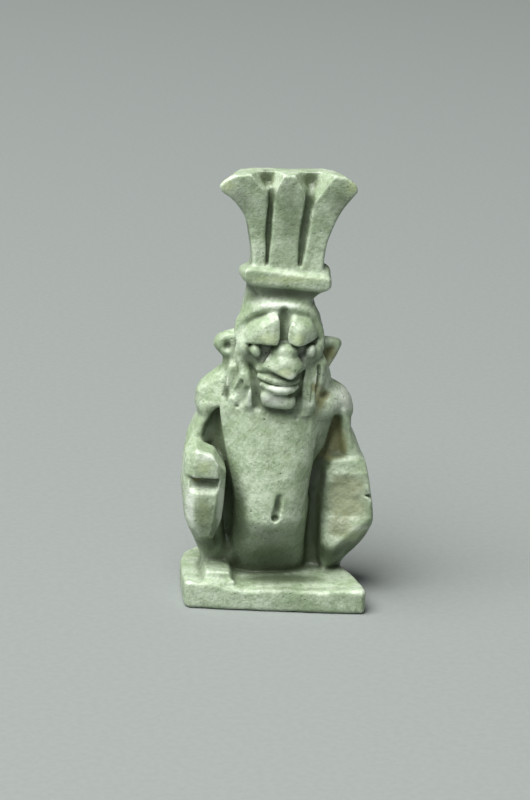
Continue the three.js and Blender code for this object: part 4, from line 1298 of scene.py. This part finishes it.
def soiled_tone(nodes, tone, hollow):
    """The tone with its soil and dark patches, and where the soil lies; the dark patches are partly
    real stains and partly painted shade.
    """
    # Dull patches, partly dark glaze and partly painted shade.
    dulled_and_painted_shade = nodes.between(nodes.ragged(nodes.mark("dulled_and_painted_shade"), 0.4, 0.7, 4.0), 0.4, 1.1)
    tone = nodes.paint(tone, DARK, dulled_and_painted_shade, 0.45)
    soil = nodes.ragged(nodes.mark("soil"), 0.7, 0.7, 4.0)
    soil = nodes.math("ADD", soil, nodes.math("MULTIPLY", hollow, 0.8))
    soil = nodes.between(soil, 1.05, 1.6)
    tone = nodes.paint(tone, SOIL_BROWN, soil, 0.85)
    # Dark patches, partly real stains and partly painted shade.
    stained_and_painted_shade = nodes.between(nodes.ragged(nodes.mark("stained_and_painted_shade"), 0.4, 0.9), 0.4, 1.1)
    return nodes.paint(tone, DARK, stained_and_painted_shade, 0.85), soil


def pit_marks(nodes):
    """Pits scattered over the glaze, and small ones close together where it is pitted."""
    pits = nodes.between(nodes.cells(0.62), 0.16, 0.08)
    pits = nodes.math("MULTIPLY", pits, nodes.between(nodes.noise(1.6), 0.5, 0.62))
    small_pits = nodes.between(nodes.cells(0.36), 0.3, 0.14)
    small_pits = nodes.math("MULTIPLY", small_pits, nodes.between(nodes.mark("pitted"), 0.2, 0.7))
    return nodes.math("ADD", pits, nodes.math("MULTIPLY", small_pits, 0.8), clamp=True)


def make_faience():
    material = bpy.data.materials.new("faience")
    nodes = Nodes(material)
    inputs = nodes.shader.inputs
    hollow = nodes.mark("hollow")
    cloud = nodes.noise(2.2, 4.0, 0.65)
    tone, spared = glazed_tone(nodes, cloud, hollow)
    tone = darkened_tone(nodes, tone, hollow, spared)
    tone = broken_tone(nodes, tone, hollow)
    tone, soil = soiled_tone(nodes, tone, hollow)
    pits = pit_marks(nodes)
    nodes.put(inputs["Base Color"], nodes.paint(tone, DARK, pits, 0.6))
    rough = nodes.between(cloud, 0.3, 0.7, 0.34, 0.5)
    rough = nodes.math("ADD", rough, nodes.math("MULTIPLY", soil, 0.2), clamp=True)
    nodes.put(inputs["Roughness"], rough)
    nodes.put(inputs["Subsurface Weight"], 0.12)
    nodes.put(inputs["Subsurface Radius"], (0.6, 0.8, 0.5))
    nodes.put(inputs["Subsurface Scale"], 0.8 * MM)
    height = nodes.math("ADD", nodes.noise(0.28, 3.0, 0.6), nodes.math("MULTIPLY", pits, -1.5))
    height = nodes.ragged(height, 0.8, 0.9, 2.0)
    bump = nodes.tree.nodes.new("ShaderNodeBump")
    nodes.put(bump.inputs["Strength"], 0.6)
    nodes.put(bump.inputs["Distance"], 0.12 * MM)
    nodes.put(bump.inputs["Height"], height)
    nodes.put(inputs["Normal"], bump.outputs["Normal"])
    return material


figure = build_figure(clay)
figure.data.materials.append(make_faience())
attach(figure, "root")
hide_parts("bes_figure")


# The floor, the light and the camera, in metres and degrees

FLOOR_SIZE = 6.0
LIGHT_PLACE = (-0.40, -0.33, 1.05)
LIGHT_TARGET = (0.0, 0.0, 0.02)
LIGHT_SIZE = (1.0, 0.95)
LIGHT_POWER = 34.5
SKY_COLOUR = (0.62, 0.66, 0.65, 1.0)
SKY_STRENGTH = 0.07
CAMERA_ANGLES = (-5.5, 17.0, 1.9)  # azimuth, elevation and roll
CAMERA_TARGET = (-1.4, 17.5)  # across and up from the carver's axis, in millimetres
CAMERA_DISTANCE = 0.23
LENS = 119.0  # in millimetres, like the sensor's width
SENSOR = 36.0


def make_floor():
    bpy.ops.mesh.primitive_plane_add(size=FLOOR_SIZE)
    floor = bpy.context.active_object
    floor.name = "floor"
    material = bpy.data.materials.new("floor")
    nodes = Nodes(material)
    grain = nodes.between(nodes.noise(0.6, 2.0), 0.3, 0.7)
    paper = nodes.blend(grain, colour(129, 134, 131), colour(132, 137, 134))
    nodes.put(nodes.shader.inputs["Base Color"], paper)
    nodes.put(nodes.shader.inputs["Roughness"], 0.8)
    floor.data.materials.append(material)


def make_light():
    light = bpy.data.lights.new("overhead", "AREA")
    light.shape = "RECTANGLE"
    light.size, light.size_y = LIGHT_SIZE
    light.energy = LIGHT_POWER
    holder = bpy.data.objects.new("overhead", light)
    holder.location = LIGHT_PLACE
    way = Vector(LIGHT_TARGET) - Vector(LIGHT_PLACE)
    holder.rotation_euler = way.to_track_quat("-Z", "Y").to_euler()
    bpy.context.scene.collection.objects.link(holder)
    world = bpy.data.worlds.new("world")
    bpy.context.scene.world = world
    world.use_nodes = True
    sky = world.node_tree.nodes["Background"]
    sky.inputs["Color"].default_value = SKY_COLOUR
    sky.inputs["Strength"].default_value = SKY_STRENGTH


def make_camera():
    azimuth, elevation, roll = (math.radians(angle) for angle in CAMERA_ANGLES)
    target = Vector((CAMERA_TARGET[0] + AXIS_PLACE[0], AXIS_PLACE[1], CAMERA_TARGET[1])) * MM
    away = Vector(
        (
            math.sin(azimuth) * math.cos(elevation),
            -math.cos(azimuth) * math.cos(elevation),
            math.sin(elevation),
        )
    )
    data = bpy.data.cameras.new("camera")
    data.lens = LENS
    data.sensor_width = SENSOR
    data.clip_start = 0.01
    camera = bpy.data.objects.new("camera", data)
    bpy.context.scene.collection.objects.link(camera)
    level = Vector((0, 0, 1)).cross(away).normalized()
    up = away.cross(level)
    right_axis = level * math.cos(roll) + up * math.sin(roll)
    up_axis = up * math.cos(roll) - level * math.sin(roll)
    rotation = Matrix((right_axis, up_axis, away)).transposed()
    camera.matrix_world = Matrix.Translation(target + away * CAMERA_DISTANCE) @ rotation.to_4x4()
    bpy.context.scene.camera = camera


make_floor()
make_light()
make_camera()
bpy.context.scene.view_settings.view_transform = "Standard"
